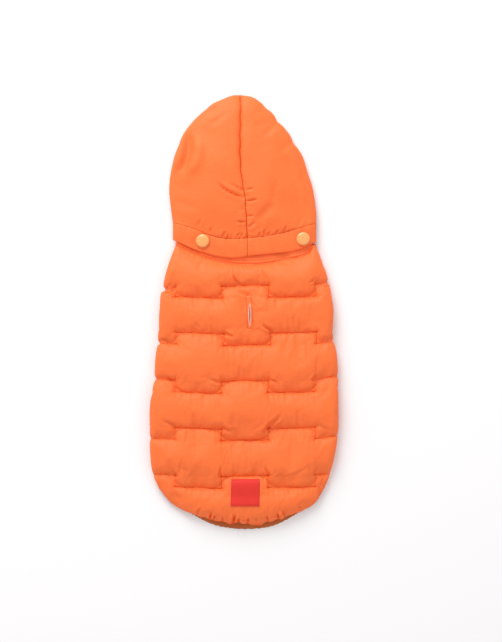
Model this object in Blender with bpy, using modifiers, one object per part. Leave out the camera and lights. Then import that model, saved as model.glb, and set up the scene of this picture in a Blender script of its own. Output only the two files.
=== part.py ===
"""A small dog's padded winter coat with a hood held by two snaps, laid flat on its belly.

Metres, +Z up. The coat lies on z = 0 with its back up: +Y runs from the tail to the hood and +X is
the right-hand side seen from above. The origin is at the centre of the ground that it covers.

The back panel is one quilted sheet, folded round both flanks and turned under. It lies on the belly
panel, the neck ends in a thin collar, and the hood's band lies on that collar and is snapped to it.
Every cloth piece is a wall between an outer and an inner grid of points that are worked out from
the tables and sizes below.
"""

import math
from typing import NamedTuple

import bmesh
import bpy
import numpy as np
from mathutils import Vector
from mathutils.bvhtree import BVHTree

SEAM_GAP = 0.0003
NECK_SEAM_GAP = 0.0005

# Quilting: five stepped seams cross the back. The cloth between two jogs is a column, and each seam
# lies half a step high or low in turn, from column to column and from seam to seam.
SEAM_COUNT = 5
FIRST_SEAM_Y = 0.0215
SEAM_PITCH = 0.050
SEAM_STEP = 0.0125
JOG_X = (-0.0725, -0.0235, 0.0255, 0.0745)
JOG_HALF_WIDTH = 0.002

NECKLINE_LOW = (0.0045, 0.0496)
NECKLINE_RISE = 0.0185

# Heights of the back panel's outer face along the neckline, the seams and the hem, and its filling.
NECKLINE_HEIGHT = 0.0080
SEAM_HEIGHT = 0.0125
HEM_HEIGHT = 0.0044
PUFF_HEIGHT = 0.0080
WIDE_CHANNEL_PUFF = 0.4
FLANK_SHARE = 0.80
NOTCH_DEPTH = 0.0030
STRIP_EDGE_AT_CENTRE = 0.054
STRIP_EDGE_SLOPE = -0.100
STRIP_THICKNESS = 0.0046
HEM_STRIP_THICKNESS = 0.0022
LAYER_GAP = 0.0006
STRIP_END_Y = -0.186

# A fold is a half ellipse, whose width is this share of its height, round a narrower hollow. The
# outermost jogs keep clear of it.
FOLD_SHARE = 0.55
HOLLOW_SHARE = 0.3
FOLD_ROOM = 0.003

# Past the belly the back sinks to the ground, between the strips and clear of the hem's casing.
# Each pair is where the sinking begins and where it is complete.
TAIL_DROP = 0.0026
DROP_PAST_BELLY = (-0.010, 0.018)
DROP_INSIDE_STRIPS = (0.064, 0.048)
DROP_OFF_CASING = (0.003, 0.016)

BELLY_THICKNESS = 0.0045
BELLY_EDGE_THICKNESS = 0.0018
BELLY_REAR_Y = -0.118
BELLY_LINES = 11
LEG_HOLE_CENTRE = (0.0330, 0.018)
LEG_HOLE_RADII = (0.0185, 0.0235)
OVAL_SIDES = 24
BINDING_WIDTH = 0.0030
BINDING_HEIGHT = 0.0048

COLLAR_HALF_WIDTHS = (0.0715, 0.0717)
COLLAR_HEIGHTS = (0.0078, 0.0064)
COLLAR_TOP_Y = 0.084
COLLAR_WALL = 0.0020
COLLAR_FLAT_COLUMNS = 18

HOOD_WALL = 0.0024
HOOD_SEAM_REACH = 0.006
HOOD_ROUNDNESS = 2.2
BAND_HEIGHT = 0.0128
BAND_EDGE_DROP = 0.0005
BAND_SHARES = (0.0, 0.1, 0.5, 0.9, 1.0)
BAND_JOIN_X = 0.0030
BAND_END_ANGLE = math.radians(-35)

SNAP_CENTRES = {"left": (-0.0440, 0.0749), "right": (0.0616, 0.0771)}
SNAP_CAP_RADIUS = 0.0071
SNAP_CAP_HEIGHT = 0.0032
SNAP_SOCKET_RADIUS = 0.0050
SNAP_SOCKET_HEIGHT = 0.0016
SNAP_SIDES = 20
MERGE_DISTANCE = 0.00001

SLIT_CENTRE = (0.0052, 0.0000)
SLIT_LENGTH = 0.0200
SLIT_WIDTH = 0.0034
SLIT_LIP = 0.0010
SLIT_PROUD = 0.0004
SLIT_SIDES = 20
SLIT_SQUARENESS = 6.0

LABEL_CENTRE = (0.0008, -0.1893)
LABEL_SIZE = (0.0300, 0.0285)
LABEL_THICKNESS = 0.0009
LABEL_COLUMNS = 8
LABEL_ROWS = 9

HEM_BAND_WIDTH = 0.0150
HEM_BAND_THICKNESS = 0.0022
HEM_BAND_END = 0.0075
HEM_BAND_SHOWN = 0.0048
HEM_BAND_BACK = 0.0012
HEM_GATHERS = 19
HEM_GATHER_DEPTH = 0.0007
HEM_STEPS_PER_GATHER = 3

# Each pair is where the casing starts to show, or to keep its full width, and where it fully does:
# distances from the middle, and turns from it in radians.
HEM_BAND_SHOWS = (0.062, 0.012)
HEM_BAND_NARROWS = (1.45, 1.0)

# Shares of the casing's width and thickness round its section, from its hidden edge.
HEM_BAND_SECTION = ((1.0, 0.0), (1.0, 1.0), (0.12, 1.0), (0.0, 0.7), (0.0, 0.3), (0.12, 0.0))

ORANGE = (1.0, 0.23, 0.07)
DARK_ORANGE = (0.42, 0.10, 0.03)
PALE_ORANGE = (0.95, 0.45, 0.15)
RED = (0.80, 0.05, 0.04)
PALE_PINK = (0.85, 0.55, 0.48)


class SideFold(NamedTuple):
    """How far the two flank folds are from the middle, at one place along the back."""

    y: float
    left: float
    right: float


class EdgePoint(NamedTuple):
    """A point of an edge that crosses the coat."""

    x: float
    y: float


class HoodSection(NamedTuple):
    """A section of a hood half, from the crown seam out to the fold where the cloth turns under."""

    seam_x: float
    seam_y: float
    left_x: float
    left_y: float
    right_x: float
    right_y: float
    crest: float
    valley: float
    fold_height: float
    turned_under: float
    band_share: float


SIDE_FOLDS = (
    SideFold(0.072, 0.0730, 0.0755),
    SideFold(0.050, 0.0795, 0.0815),
    SideFold(0.030, 0.0860, 0.0880),
    SideFold(0.000, 0.0895, 0.0930),
    SideFold(-0.050, 0.0935, 0.0970),
    SideFold(-0.095, 0.0985, 0.0990),
    SideFold(-0.135, 0.0995, 0.0980),
    SideFold(-0.157, 0.0985, 0.0940),
    SideFold(-0.172, 0.0962, 0.0902),
    SideFold(-0.186, 0.0896, 0.0836),
)
HEM = (
    EdgePoint(-0.0896, -0.1860),
    EdgePoint(-0.0832, -0.1945),
    EdgePoint(-0.0665, -0.2078),
    EdgePoint(-0.0480, -0.2158),
    EdgePoint(-0.0270, -0.2208),
    EdgePoint(0.0000, -0.2232),
    EdgePoint(0.0270, -0.2212),
    EdgePoint(0.0470, -0.2158),
    EdgePoint(0.0645, -0.2078),
    EdgePoint(0.0762, -0.1982),
    EdgePoint(0.0836, -0.1860),
)
BAND_TOP = (
    EdgePoint(-0.0760, 0.0945),
    EdgePoint(-0.0640, 0.0912),
    EdgePoint(-0.0500, 0.0868),
    EdgePoint(-0.0380, 0.0815),
    EdgePoint(-0.0280, 0.0787),
    EdgePoint(0.0030, 0.0780),
    EdgePoint(0.0260, 0.0805),
    EdgePoint(0.0510, 0.0862),
    EdgePoint(0.0700, 0.0920),
    EdgePoint(0.0770, 0.0935),
)
BAND_BOTTOM = (
    EdgePoint(-0.0760, 0.0765),
    EdgePoint(-0.0640, 0.0708),
    EdgePoint(-0.0500, 0.0648),
    EdgePoint(-0.0370, 0.0608),
    EdgePoint(-0.0080, 0.0572),
    EdgePoint(0.0030, 0.0588),
    EdgePoint(0.0310, 0.0616),
    EdgePoint(0.0550, 0.0650),
    EdgePoint(0.0770, 0.0748),
)
HOOD_SECTIONS = (
    HoodSection(0.0030, 0.0783, -0.0755, 0.0945, 0.0755, 0.0930, 0.0130, 0.0006, 0.0122, 0.007, 1.00),
    HoodSection(0.0020, 0.0980, -0.0775, 0.1090, 0.0752, 0.1070, 0.0178, 0.0020, 0.0110, 0.014, 0.40),
    HoodSection(0.0006, 0.1200, -0.0793, 0.1320, 0.0715, 0.1310, 0.0205, 0.0024, 0.0100, 0.020, 0.05),
    HoodSection(-0.0030, 0.1420, -0.0755, 0.1580, 0.0655, 0.1510, 0.0212, 0.0026, 0.0098, 0.022, 0.00),
    HoodSection(-0.0044, 0.1630, -0.0665, 0.1840, 0.0575, 0.1700, 0.0202, 0.0026, 0.0096, 0.022, 0.00),
    HoodSection(-0.0045, 0.1820, -0.0520, 0.2035, 0.0450, 0.1900, 0.0182, 0.0024, 0.0094, 0.022, 0.00),
    HoodSection(-0.0044, 0.1950, -0.0335, 0.2185, 0.0295, 0.2095, 0.0160, 0.0020, 0.0094, 0.021, 0.00),
    HoodSection(-0.0042, 0.2020, -0.0150, 0.2276, 0.0110, 0.2252, 0.0148, 0.0018, 0.0092, 0.020, 0.00),
    HoodSection(-0.0041, 0.2040, -0.0041, 0.2288, -0.0041, 0.2288, 0.0142, 0.0016, 0.0090, 0.019, 0.00),
)

# Shares of the way across each stretch of a grid at which its lines lie.
BAY_SHARES = (0.10, 0.30, 0.50, 0.72, 0.91)
TOP_SHARES = (0.33, 0.67)
HOOD_SHARES = (0.0, 0.05, 0.13, 0.27, 0.45, 0.65, 0.83, 1.0)
FOLD_ANGLES = tuple(math.radians(angle) for angle in (62, 31, 0, -31, -62, -90))
STRIP_SHARES = (0.5, 1.0)


def curve_through(knots, values, at):
    """Smooth curve through the knots, read at each place asked for.

    Each stretch is a cubic whose end slopes are those of the line between the knots on either side.
    """
    knots = np.asarray(knots, float)
    values = np.asarray(values, float)
    at = np.clip(np.asarray(at, float), knots[0], knots[-1])
    slopes = np.gradient(values, knots)
    start = np.clip(np.searchsorted(knots, at, side="right") - 1, 0, len(knots) - 2)
    width = knots[start + 1] - knots[start]
    share = (at - knots[start]) / width
    rest = 1 - share
    return (
        values[start] * (1 + 2 * share) * rest**2
        + values[start + 1] * (3 - 2 * share) * share**2
        + width * share * rest * (slopes[start] * rest - slopes[start + 1] * share)
    )


def edge_y(edge, x):
    return curve_through([point.x for point in edge], [point.y for point in edge], x)


def neckline_y(x):
    """The neckline is a shallow bowl: its rise grows with the square of the way from its lowest
    point."""
    return NECKLINE_LOW[1] + NECKLINE_RISE * ((x - NECKLINE_LOW[0]) / COLLAR_HALF_WIDTHS[1]) ** 2


def side_fold(side, y):
    """Distance of the left (side -1) or right (side 1) flank fold from the middle."""
    rows = SIDE_FOLDS[::-1]
    widths = [row.left if side < 0 else row.right for row in rows]
    return curve_through([row.y for row in rows], widths, y)


def side_seam(y):
    """Distance from the middle of the straight seam between a turned-under strip and the belly."""
    return STRIP_EDGE_AT_CENTRE + STRIP_EDGE_SLOPE * y


def ramp(value, start, end):
    """0 at start and 1 at end, with a soft turn at both."""
    share = np.clip((value - start) / (end - start), 0, 1)
    return share * share * (3 - 2 * share)


def make_object(name, mesh, colour, collection, roughness=0.6):
    material = bpy.data.materials.new(name)
    material.use_nodes = True
    shader = material.node_tree.nodes["Principled BSDF"]
    shader.inputs["Base Color"].default_value = (*colour, 1)
    shader.inputs["Roughness"].default_value = roughness
    material.diffuse_color = (*colour, 1)
    mesh.materials.append(material)
    mesh.shade_smooth()
    mesh.set_sharp_from_angle(angle=math.radians(40))
    made = bpy.data.objects.new(name, mesh)
    collection.objects.link(made)
    return made


def grid_faces(rows, columns, first=0, wrap=False):
    """Quads of a grid of points numbered row by row, closed round its columns when it wraps."""
    last = columns if wrap else columns - 1
    return [
        (
            first + row * columns + column,
            first + row * columns + (column + 1) % columns,
            first + (row + 1) * columns + (column + 1) % columns,
            first + (row + 1) * columns + column,
        )
        for row in range(rows - 1)
        for column in range(last)
    ]


def wall_mesh(name, outer, inner, wrap=False):
    """Closed wall between two grids of rows by columns by xyz, with rims along its open edges."""
    rows, columns = outer.shape[:2]
    count = rows * columns
    faces = grid_faces(rows, columns, wrap=wrap)
    faces += [face[::-1] for face in grid_faces(rows, columns, first=count, wrap=wrap)]
    row_ends = range(columns if wrap else columns - 1)
    rims = [(column, (column + 1) % columns) for column in row_ends]
    rims += [(count - columns + b, count - columns + a) for a, b in rims]
    if not wrap:
        rims += [((row + 1) * columns, row * columns) for row in range(rows - 1)]
        rims += [(row * columns - 1, (row + 1) * columns - 1) for row in range(1, rows)]
    faces += [(b, a, a + count, b + count) for a, b in rims]
    mesh = bpy.data.meshes.new(name)
    points = np.concatenate([outer.reshape(-1, 3), inner.reshape(-1, 3)])
    mesh.from_pydata(points.tolist(), [], faces)
    turn_outwards(mesh)
    return mesh


def turn_outwards(mesh):
    shape = bmesh.new()
    shape.from_mesh(mesh)
    bmesh.ops.recalc_face_normals(shape, faces=shape.faces)
    if shape.calc_volume(signed=True) < 0:
        bmesh.ops.reverse_faces(shape, faces=shape.faces)
    shape.to_mesh(mesh)
    shape.free()


def stacked(x, y, z):
    return np.stack(np.broadcast_arrays(x, y, z), axis=-1).astype(float)


def tree_of(made):
    graph = bpy.context.evaluated_depsgraph_get()
    return BVHTree.FromObject(made, graph)


def highest_near(tree, x, y, reach):
    """Height of a piece at one place or a little to either side, where a stiff patch rests on it."""
    near = [(0, 0), (reach, 0), (-reach, 0), (0, reach), (0, -reach)]
    return max(height_on(tree, x + right, y + up) for right, up in near)


def height_on(tree, x, y):
    """Height of the highest face of a piece at one place."""
    found = tree.ray_cast(Vector((x, y, 1.0)), Vector((0, 0, -1)))[0]
    return found.z


def cut(made, cutter):
    cutter.hide_render = True
    cutter.display_type = "WIRE"
    boolean = made.modifiers.new("Cut " + cutter.name, "BOOLEAN")
    boolean.operation = "DIFFERENCE"
    boolean.object = cutter


def superellipse(sides, squareness):
    """(x, y) of points round a unit superellipse, a circle at squareness 2 and a slot above that."""
    turns = np.arange(sides) * 2 * math.pi / sides
    ring = np.array([np.cos(turns), np.sin(turns)])
    return np.sign(ring) * np.abs(ring) ** (2 / squareness)


def oval_prism(name, centre, radii, heights, shape, collection):
    """Upright prism on a superellipse, from its two heights and its (sides, squareness)."""
    across, along = superellipse(*shape)
    x, y = centre[0] + radii[0] * across, centre[1] + radii[1] * along
    points = np.concatenate([stacked(x, y, height) for height in heights])
    sides = shape[0]
    faces = grid_faces(2, sides, wrap=True)
    faces.append(tuple(range(sides)))
    faces.append(tuple(range(sides, 2 * sides)))
    mesh = bpy.data.meshes.new(name)
    mesh.from_pydata(points.tolist(), [], faces)
    turn_outwards(mesh)
    made = bpy.data.objects.new(name, mesh)
    collection.objects.link(made)
    return made


class BackGrid:
    """Points of the quilted back, row by row from the neckline to the hem, column by column from
    the left turned-under edge over the back to the right one."""

    def __init__(self):
        self.rows = self.row_places()
        self.tops = self.top_columns()
        self.outer, self.inner = self.points()

    @staticmethod
    def row_places():
        """Place of each row: whole numbers are the neckline, the seams and the hem."""
        places = [
            bay + share
            for bay in range(SEAM_COUNT + 1)
            for share in (0.0, *BAY_SHARES)
        ]
        return np.array([*places, SEAM_COUNT + 1.0])

    @staticmethod
    def top_columns():
        """Columns of the top, in metres from the middle, with a pair of them at each jog."""
        edges = [jog + side * JOG_HALF_WIDTH for jog in JOG_X for side in (-1, 1)]
        columns = list(edges)
        for left, right in zip(edges[1::2], edges[2::2]):
            columns += [left + (right - left) * share for share in TOP_SHARES]
        return np.array(sorted(columns))

    @staticmethod
    def step_side(columns):
        """1 in the columns where the odd seams lie high, and -1 where they lie low."""
        knots = [jog + side * JOG_HALF_WIDTH for jog in JOG_X for side in (-1, 1)]
        return np.interp(columns, knots, (1, -1, -1, 1, 1, -1, -1, 1))

    @staticmethod
    def line_y(line, x, step, under):
        """Y of the neckline, a seam or the hem at x. Turned-under cloth ends square at the hem."""
        if line == 0:
            return neckline_y(x)
        if line == SEAM_COUNT + 1:
            return np.where(under, STRIP_END_Y, edge_y(HEM, x))
        middle = FIRST_SEAM_Y - (line - 1) * SEAM_PITCH
        return middle + step * (1 if line % 2 else -1) * SEAM_STEP / 2

    def place(self, row, x, step=1, under=False):
        """Y at each x of a row, and the height of the channel between the seams about it."""
        line = min(int(row), SEAM_COUNT)
        above = self.line_y(line, x, step, under)
        below = self.line_y(line + 1, x, step, under)
        return above + (below - above) * (row - line), above - below

    def fold(self, side, row):
        """(half width, fill) of the flank at a row: the fold scallops in at each seam."""
        line = min(int(row), SEAM_COUNT)
        fill = math.sqrt(1 - (2 * (row - line) - 1) ** 2)
        y, _ = self.place(row, side * JOG_X[-1], under=True)
        width = float(side_fold(side, y))
        ends = row == 0 or row == SEAM_COUNT + 1
        return width - (0 if ends else NOTCH_DEPTH * (1 - fill)), fill

    def strip_edge(self, side, row):
        """X of the turned-under edge at a row, which lies on the straight side seam."""
        x = side * STRIP_EDGE_AT_CENTRE
        for _ in range(6):
            y, _ = self.place(row, x, under=True)
            x = side * side_seam(y)
        return float(x)

    def points(self):
        levels = [NECKLINE_HEIGHT, *[SEAM_HEIGHT] * SEAM_COUNT, HEM_HEIGHT]
        strips = [*[STRIP_THICKNESS] * (SEAM_COUNT + 1), HEM_STRIP_THICKNESS]
        lines = np.arange(SEAM_COUNT + 2)
        outer, inner = [], []
        for row in self.rows:
            level = float(np.interp(row, lines, levels))
            strip = float(np.interp(row, lines, strips))
            halves = [self.half_row(side, row, level, strip) for side in (-1, 1)]
            outer.append(np.concatenate([halves[0][0][::-1], halves[1][0]]))
            inner.append(np.concatenate([halves[0][1][::-1], halves[1][1]]))
        return np.array(outer), np.array(inner)

    def half_row(self, side, row, level, strip):
        """Outer and inner points of half a row, from the middle to the turned-under edge."""
        width, fill = self.fold(side, row)
        under = strip + LAYER_GAP
        rise = level + PUFF_HEIGHT * fill - under
        height = under + rise * FLANK_SHARE
        radius = FOLD_SHARE * height
        flat = width - radius
        tops = self.tops[self.tops * side > 0]
        tops = tops if side > 0 else tops[::-1]
        scale = min(1.0, flat / (abs(tops[-1]) + FOLD_ROOM))
        step = np.append(self.step_side(tops), 1)
        tops = np.append(tops * scale, side * flat)
        y, channel = self.place(row, tops, step)
        drop = self.tail_drop(tops, y)
        puff = PUFF_HEIGHT * fill * (channel / SEAM_PITCH) ** WIDE_CHANNEL_PUFF
        crown = 1 - (1 - FLANK_SHARE) * np.abs(tops / flat) ** 3
        top_z = under + (level + puff - under) * crown
        top_z[-1] = height
        top_outer = stacked(tops, y, top_z - TAIL_DROP * drop)
        top_inner = stacked(tops, y, under - (under - SEAM_GAP) * drop)
        turn = np.array(FOLD_ANGLES)
        fold_x = side * (flat + radius * np.cos(turn))
        fold_y, _ = self.place(row, fold_x, under=turn < 0)
        fold_outer = stacked(fold_x, fold_y, height / 2 * (1 + np.sin(turn)))
        hollow = HOLLOW_SHARE * radius
        inner_x = side * (flat + hollow * np.cos(turn))
        inner_z = (strip + under) / 2 + (under - strip) / 2 * np.sin(turn)
        inner_y, _ = self.place(row, inner_x, under=turn < 0)
        fold_inner = stacked(inner_x, inner_y, inner_z)
        edge = self.strip_edge(side, row)
        strip_x = side * flat + (edge - side * flat) * np.array(STRIP_SHARES)
        strip_y, _ = self.place(row, strip_x, under=True)
        strip_outer = stacked(strip_x, strip_y, 0.0)
        strip_inner = stacked(strip_x, strip_y, strip)
        return (
            np.concatenate([top_outer, fold_outer, strip_outer]),
            np.concatenate([top_inner, fold_inner, strip_inner]),
        )

    @staticmethod
    def tail_drop(x, y):
        """1 where the back lies on the ground past the belly, 0 on the belly and on the hem."""
        past_belly = ramp(BELLY_REAR_Y - y, *DROP_PAST_BELLY)
        inside_strips = ramp(np.abs(x), *DROP_INSIDE_STRIPS)
        off_casing = ramp(y - edge_y(HEM, x) - HEM_BAND_WIDTH, *DROP_OFF_CASING)
        return past_belly * inside_strips * off_casing


def build_back(collection, cutters):
    """Quilted back, folded round both flanks and turned under, with the leash slit cut in it."""
    grid = BackGrid()
    mesh = wall_mesh("back_panel", grid.outer, grid.inner)
    back = make_object("back_panel", mesh, ORANGE, collection)
    radii = (SLIT_WIDTH / 2 + SEAM_GAP, SLIT_LENGTH / 2 + SEAM_GAP)
    heights = (STRIP_THICKNESS - SEAM_GAP, 2 * (SEAM_HEIGHT + PUFF_HEIGHT))
    shape = (SLIT_SIDES, SLIT_SQUARENESS)
    cut(back, oval_prism("slit_cutter", SLIT_CENTRE, radii, heights, shape, cutters))
    return back


def build_slit_binding(collection, tree):
    """Bound lips of the leash slit: an upright ring in the opening, a little proud of the cloth."""
    across, along = superellipse(SLIT_SIDES, SLIT_SQUARENESS)
    beside = SLIT_CENTRE[0] + SLIT_WIDTH
    levels = [height_on(tree, beside, SLIT_CENTRE[1] + b * SLIT_LENGTH / 2) for b in along]
    top = np.array(levels) + SLIT_PROUD
    foot = STRIP_THICKNESS + LAYER_GAP + SEAM_GAP
    rings = []
    for inset in (0.0, SLIT_LIP):
        x = SLIT_CENTRE[0] + (SLIT_WIDTH / 2 - inset) * across
        y = SLIT_CENTRE[1] + (SLIT_LENGTH / 2 - inset) * along
        rings.append(np.array([stacked(x, y, foot), stacked(x, y, top)]))
    mesh = wall_mesh("leash_slit_binding", rings[0], rings[1], wrap=True)
    return make_object("leash_slit_binding", mesh, PALE_PINK, collection)


def build_belly(collection, cutters):
    """Flat padded sheet between the turned-under strips, thin at its rear edge."""
    shares = np.linspace(0, 1, BELLY_LINES)
    places = np.linspace(-1, 1, BELLY_LINES)
    bottom, top = [], []
    for share in shares:
        x = places * STRIP_EDGE_AT_CENTRE
        for _ in range(6):
            neck_y = neckline_y(x) - SEAM_GAP
            y = neck_y + (BELLY_REAR_Y - neck_y) * share
            x = places * (side_seam(y) - SEAM_GAP)
        thin = float(ramp(share, shares[-2], 1.0))
        thickness = BELLY_THICKNESS + (BELLY_EDGE_THICKNESS - BELLY_THICKNESS) * thin
        bottom.append(stacked(x, y, 0.0))
        top.append(stacked(x, y, thickness))
    mesh = wall_mesh("belly_panel", np.array(top), np.array(bottom))
    belly = make_object("belly_panel", mesh, ORANGE, collection)
    for side, name in ((-1, "left"), (1, "right")):
        centre = (side * LEG_HOLE_CENTRE[0], LEG_HOLE_CENTRE[1])
        cutter_name = "leg_cutter_" + name
        heights = (-BELLY_THICKNESS, 2 * BELLY_THICKNESS)
        shape = (OVAL_SIDES, 2.0)
        cut(belly, oval_prism(cutter_name, centre, LEG_HOLE_RADII, heights, shape, cutters))
    return belly


def build_leg_binding(name, side, collection):
    """Rounded binding just inside the edge of a leg hole."""
    turns = np.arange(OVAL_SIDES) * 2 * math.pi / OVAL_SIDES
    grids = []
    for section in (((0.0, 0.3), (0.0, 0.7), (0.5, 1.0)), ((0.5, 0.0), (1.0, 0.3), (1.0, 0.7))):
        rings = []
        for inwards, upwards in section:
            inset = SEAM_GAP + BINDING_WIDTH * inwards
            x = side * LEG_HOLE_CENTRE[0] + (LEG_HOLE_RADII[0] - inset) * np.cos(turns)
            y = LEG_HOLE_CENTRE[1] + (LEG_HOLE_RADII[1] - inset) * np.sin(turns)
            rings.append(stacked(x, y, BINDING_HEIGHT * upwards))
        grids.append(np.array(rings))
    mesh = wall_mesh(name, grids[0], grids[1], wrap=True)
    return make_object(name, mesh, DARK_ORANGE, collection)


def build_collar(collection):
    """Flattened ring of thin cloth from the neckline up under the hood's band."""
    rows = (0.0, 1.0)
    grids = []
    for inset in (0.0, COLLAR_WALL):
        grid = []
        for row in rows:
            height = float(np.interp(row, (0, 1), COLLAR_HEIGHTS))
            x, z = flattened_ring(COLLAR_HALF_WIDTHS, height, inset)
            low = neckline_y(x) + NECK_SEAM_GAP
            grid.append(stacked(x, low + (COLLAR_TOP_Y - low) * row, z))
        grids.append(np.array(grid))
    mesh = wall_mesh("collar", grids[0], grids[1], wrap=True)
    return make_object("collar", mesh, ORANGE, collection)


def flattened_ring(half_widths, height, inset):
    """(x, z) round a flat-sided loop whose ends are half circles, moved in by inset."""
    radius = height / 2
    left, right = -half_widths[0] + radius, half_widths[1] - radius
    turn = np.radians(np.array([90, 45, 0, -45, -90]))
    flat = np.linspace(left, right, COLLAR_FLAT_COLUMNS + 2)[1:-1]
    reach = radius - inset
    x = np.concatenate(
        [flat, right + reach * np.cos(turn), flat[::-1], left - reach * np.cos(turn[::-1])]
    )
    z = np.concatenate(
        [
            np.full(COLLAR_FLAT_COLUMNS, reach),
            reach * np.sin(turn),
            np.full(COLLAR_FLAT_COLUMNS, -reach),
            reach * np.sin(turn[::-1]),
        ]
    )
    return x, z + radius


def hood_column(field, at):
    """One column of the hood's table, read between its sections."""
    values = [getattr(section, field) for section in HOOD_SECTIONS]
    return curve_through(range(len(values)), values, at)


def no_dip(plan):
    """Height that no seam takes off."""
    return np.zeros(len(plan))


def turned_wall(start, edge, crest, fold_height, under, seam_dip, wall, sag, angles):
    """Outer and inner points of a section that crosses a hood half and turns under at its edge.

    The outer face rises from the fold to the crest, dips to the seam at its start, and turns round
    a half ellipse at its edge. The inner face is the same, one wall further in.
    """
    run = edge - start
    length = float(np.hypot(*run))
    along = run / length
    radius = FOLD_SHARE * fold_height
    flat = length - radius
    tops = np.array(HOOD_SHARES) * flat
    plan = start + tops[:, None] * along
    plan[:, 1] += sag(plan[:, 0])
    rise = crest - fold_height
    top_z = fold_height + rise * (1 - (tops / flat) ** HOOD_ROUNDNESS) - seam_dip(plan)
    turn = np.array(angles)
    strip = under * np.array(STRIP_SHARES) if under else np.array([])
    grids = []
    for inset in (0.0, wall):
        reach = flat + (radius - inset) * np.cos(turn)
        fold_z = fold_height / 2 + (fold_height / 2 - inset) * np.sin(turn)
        distance = np.concatenate([reach, flat - strip])
        rest = start + distance[:, None] * along
        rest[:, 1] += sag(rest[:, 0])
        z = np.concatenate([top_z - inset, fold_z, np.full(len(strip), inset)])
        grids.append(stacked(*np.concatenate([plan, rest]).T, z))
    return grids


class HoodRow:
    """One section of a hood half, read from the hood's table at a place between its sections."""

    def __init__(self, edge, at):
        self.sizes = {field: float(hood_column(field, at)) for field in HoodSection._fields}
        self.end = np.array([self.sizes[edge + "_x"], self.sizes[edge + "_y"]])
        first = HOOD_SECTIONS[0]
        run_x = getattr(first, edge + "_x") - first.seam_x
        self.slope = (getattr(first, edge + "_y") - first.seam_y) / run_x

    def sag(self, x):
        """How far the section bends from a straight line towards the band's curved seam."""
        first = HOOD_SECTIONS[0]
        straight = first.seam_y + (x - first.seam_x) * self.slope
        return self.sizes["band_share"] * (edge_y(BAND_TOP, x) + SEAM_GAP - straight)

    def seam_dip(self, plan):
        """How far the cloth sinks beside the crown seam."""
        seam_x = [section.seam_x for section in HOOD_SECTIONS]
        seam_y = [section.seam_y for section in HOOD_SECTIONS]
        away = np.abs(plan[:, 0] - curve_through(seam_y, seam_x, plan[:, 1]))
        return self.sizes["valley"] * np.exp(-away / HOOD_SEAM_REACH)


def build_hood(name, side, collection):
    """One hood half: sections fan out from the crown seam, from the band up to the fold on top."""
    outer, inner = [], []
    last = len(HOOD_SECTIONS) - 1
    for at in np.linspace(0, last, 2 * last + 1):
        row = HoodRow("right" if side > 0 else "left", at)
        sizes = row.sizes
        start = np.array([sizes["seam_x"] + side * SEAM_GAP / 2, sizes["seam_y"]])
        if at == last:
            row.end[0] = start[0]
        grids = turned_wall(
            start,
            row.end,
            sizes["crest"],
            sizes["fold_height"],
            sizes["turned_under"],
            row.seam_dip,
            HOOD_WALL,
            row.sag,
            FOLD_ANGLES,
        )
        outer.append(grids[0])
        inner.append(grids[1])
    mesh = wall_mesh(name, np.array(outer), np.array(inner))
    return make_object(name, mesh, ORANGE, collection)


class BandRow:
    """One line along the band, at a share of the way from its top seam to its lower edge."""

    def __init__(self, share):
        self.share = share
        self.height = BAND_HEIGHT - (BAND_EDGE_DROP if share in (0.0, 1.0) else 0.0)

    def across(self, x):
        """Y of the line at each x."""
        top = edge_y(BAND_TOP, x) - SEAM_GAP
        return top + (edge_y(BAND_BOTTOM, x) - top) * self.share


def build_band(name, side, collection):
    """One half of the hood's band, from the join at the back to its end beside the collar."""
    outer, inner = [], []
    end_x = getattr(HOOD_SECTIONS[0], ("right" if side > 0 else "left") + "_x")
    angles = [angle for angle in FOLD_ANGLES if angle > BAND_END_ANGLE] + [BAND_END_ANGLE]
    for share in BAND_SHARES:
        row = BandRow(share)
        grids = turned_wall(
            np.array([BAND_JOIN_X + side * SEAM_GAP / 2, 0.0]),
            np.array([end_x, 0.0]),
            row.height,
            HOOD_SECTIONS[0].fold_height,
            0.0,
            no_dip,
            HOOD_WALL,
            row.across,
            angles,
        )
        outer.append(grids[0])
        inner.append(grids[1])
    mesh = wall_mesh(name, np.array(outer), np.array(inner))
    return make_object(name, mesh, ORANGE, collection)


def turned(name, profile, location, colour, collection, roughness):
    """Round piece from its profile: (radius, height) points from the top down to the middle."""
    mesh = bpy.data.meshes.new(name)
    points = [(radius, 0, height) for radius, height in profile]
    mesh.from_pydata(points, [(i, i + 1) for i in range(len(points) - 1)], [])
    made = make_object(name, mesh, colour, collection, roughness)
    made.location = location
    screw = made.modifiers.new("Turn", "SCREW")
    screw.angle = 2 * math.pi
    screw.steps = SNAP_SIDES
    screw.render_steps = SNAP_SIDES
    screw.use_merge_vertices = True
    screw.merge_threshold = MERGE_DISTANCE
    return made


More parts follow.
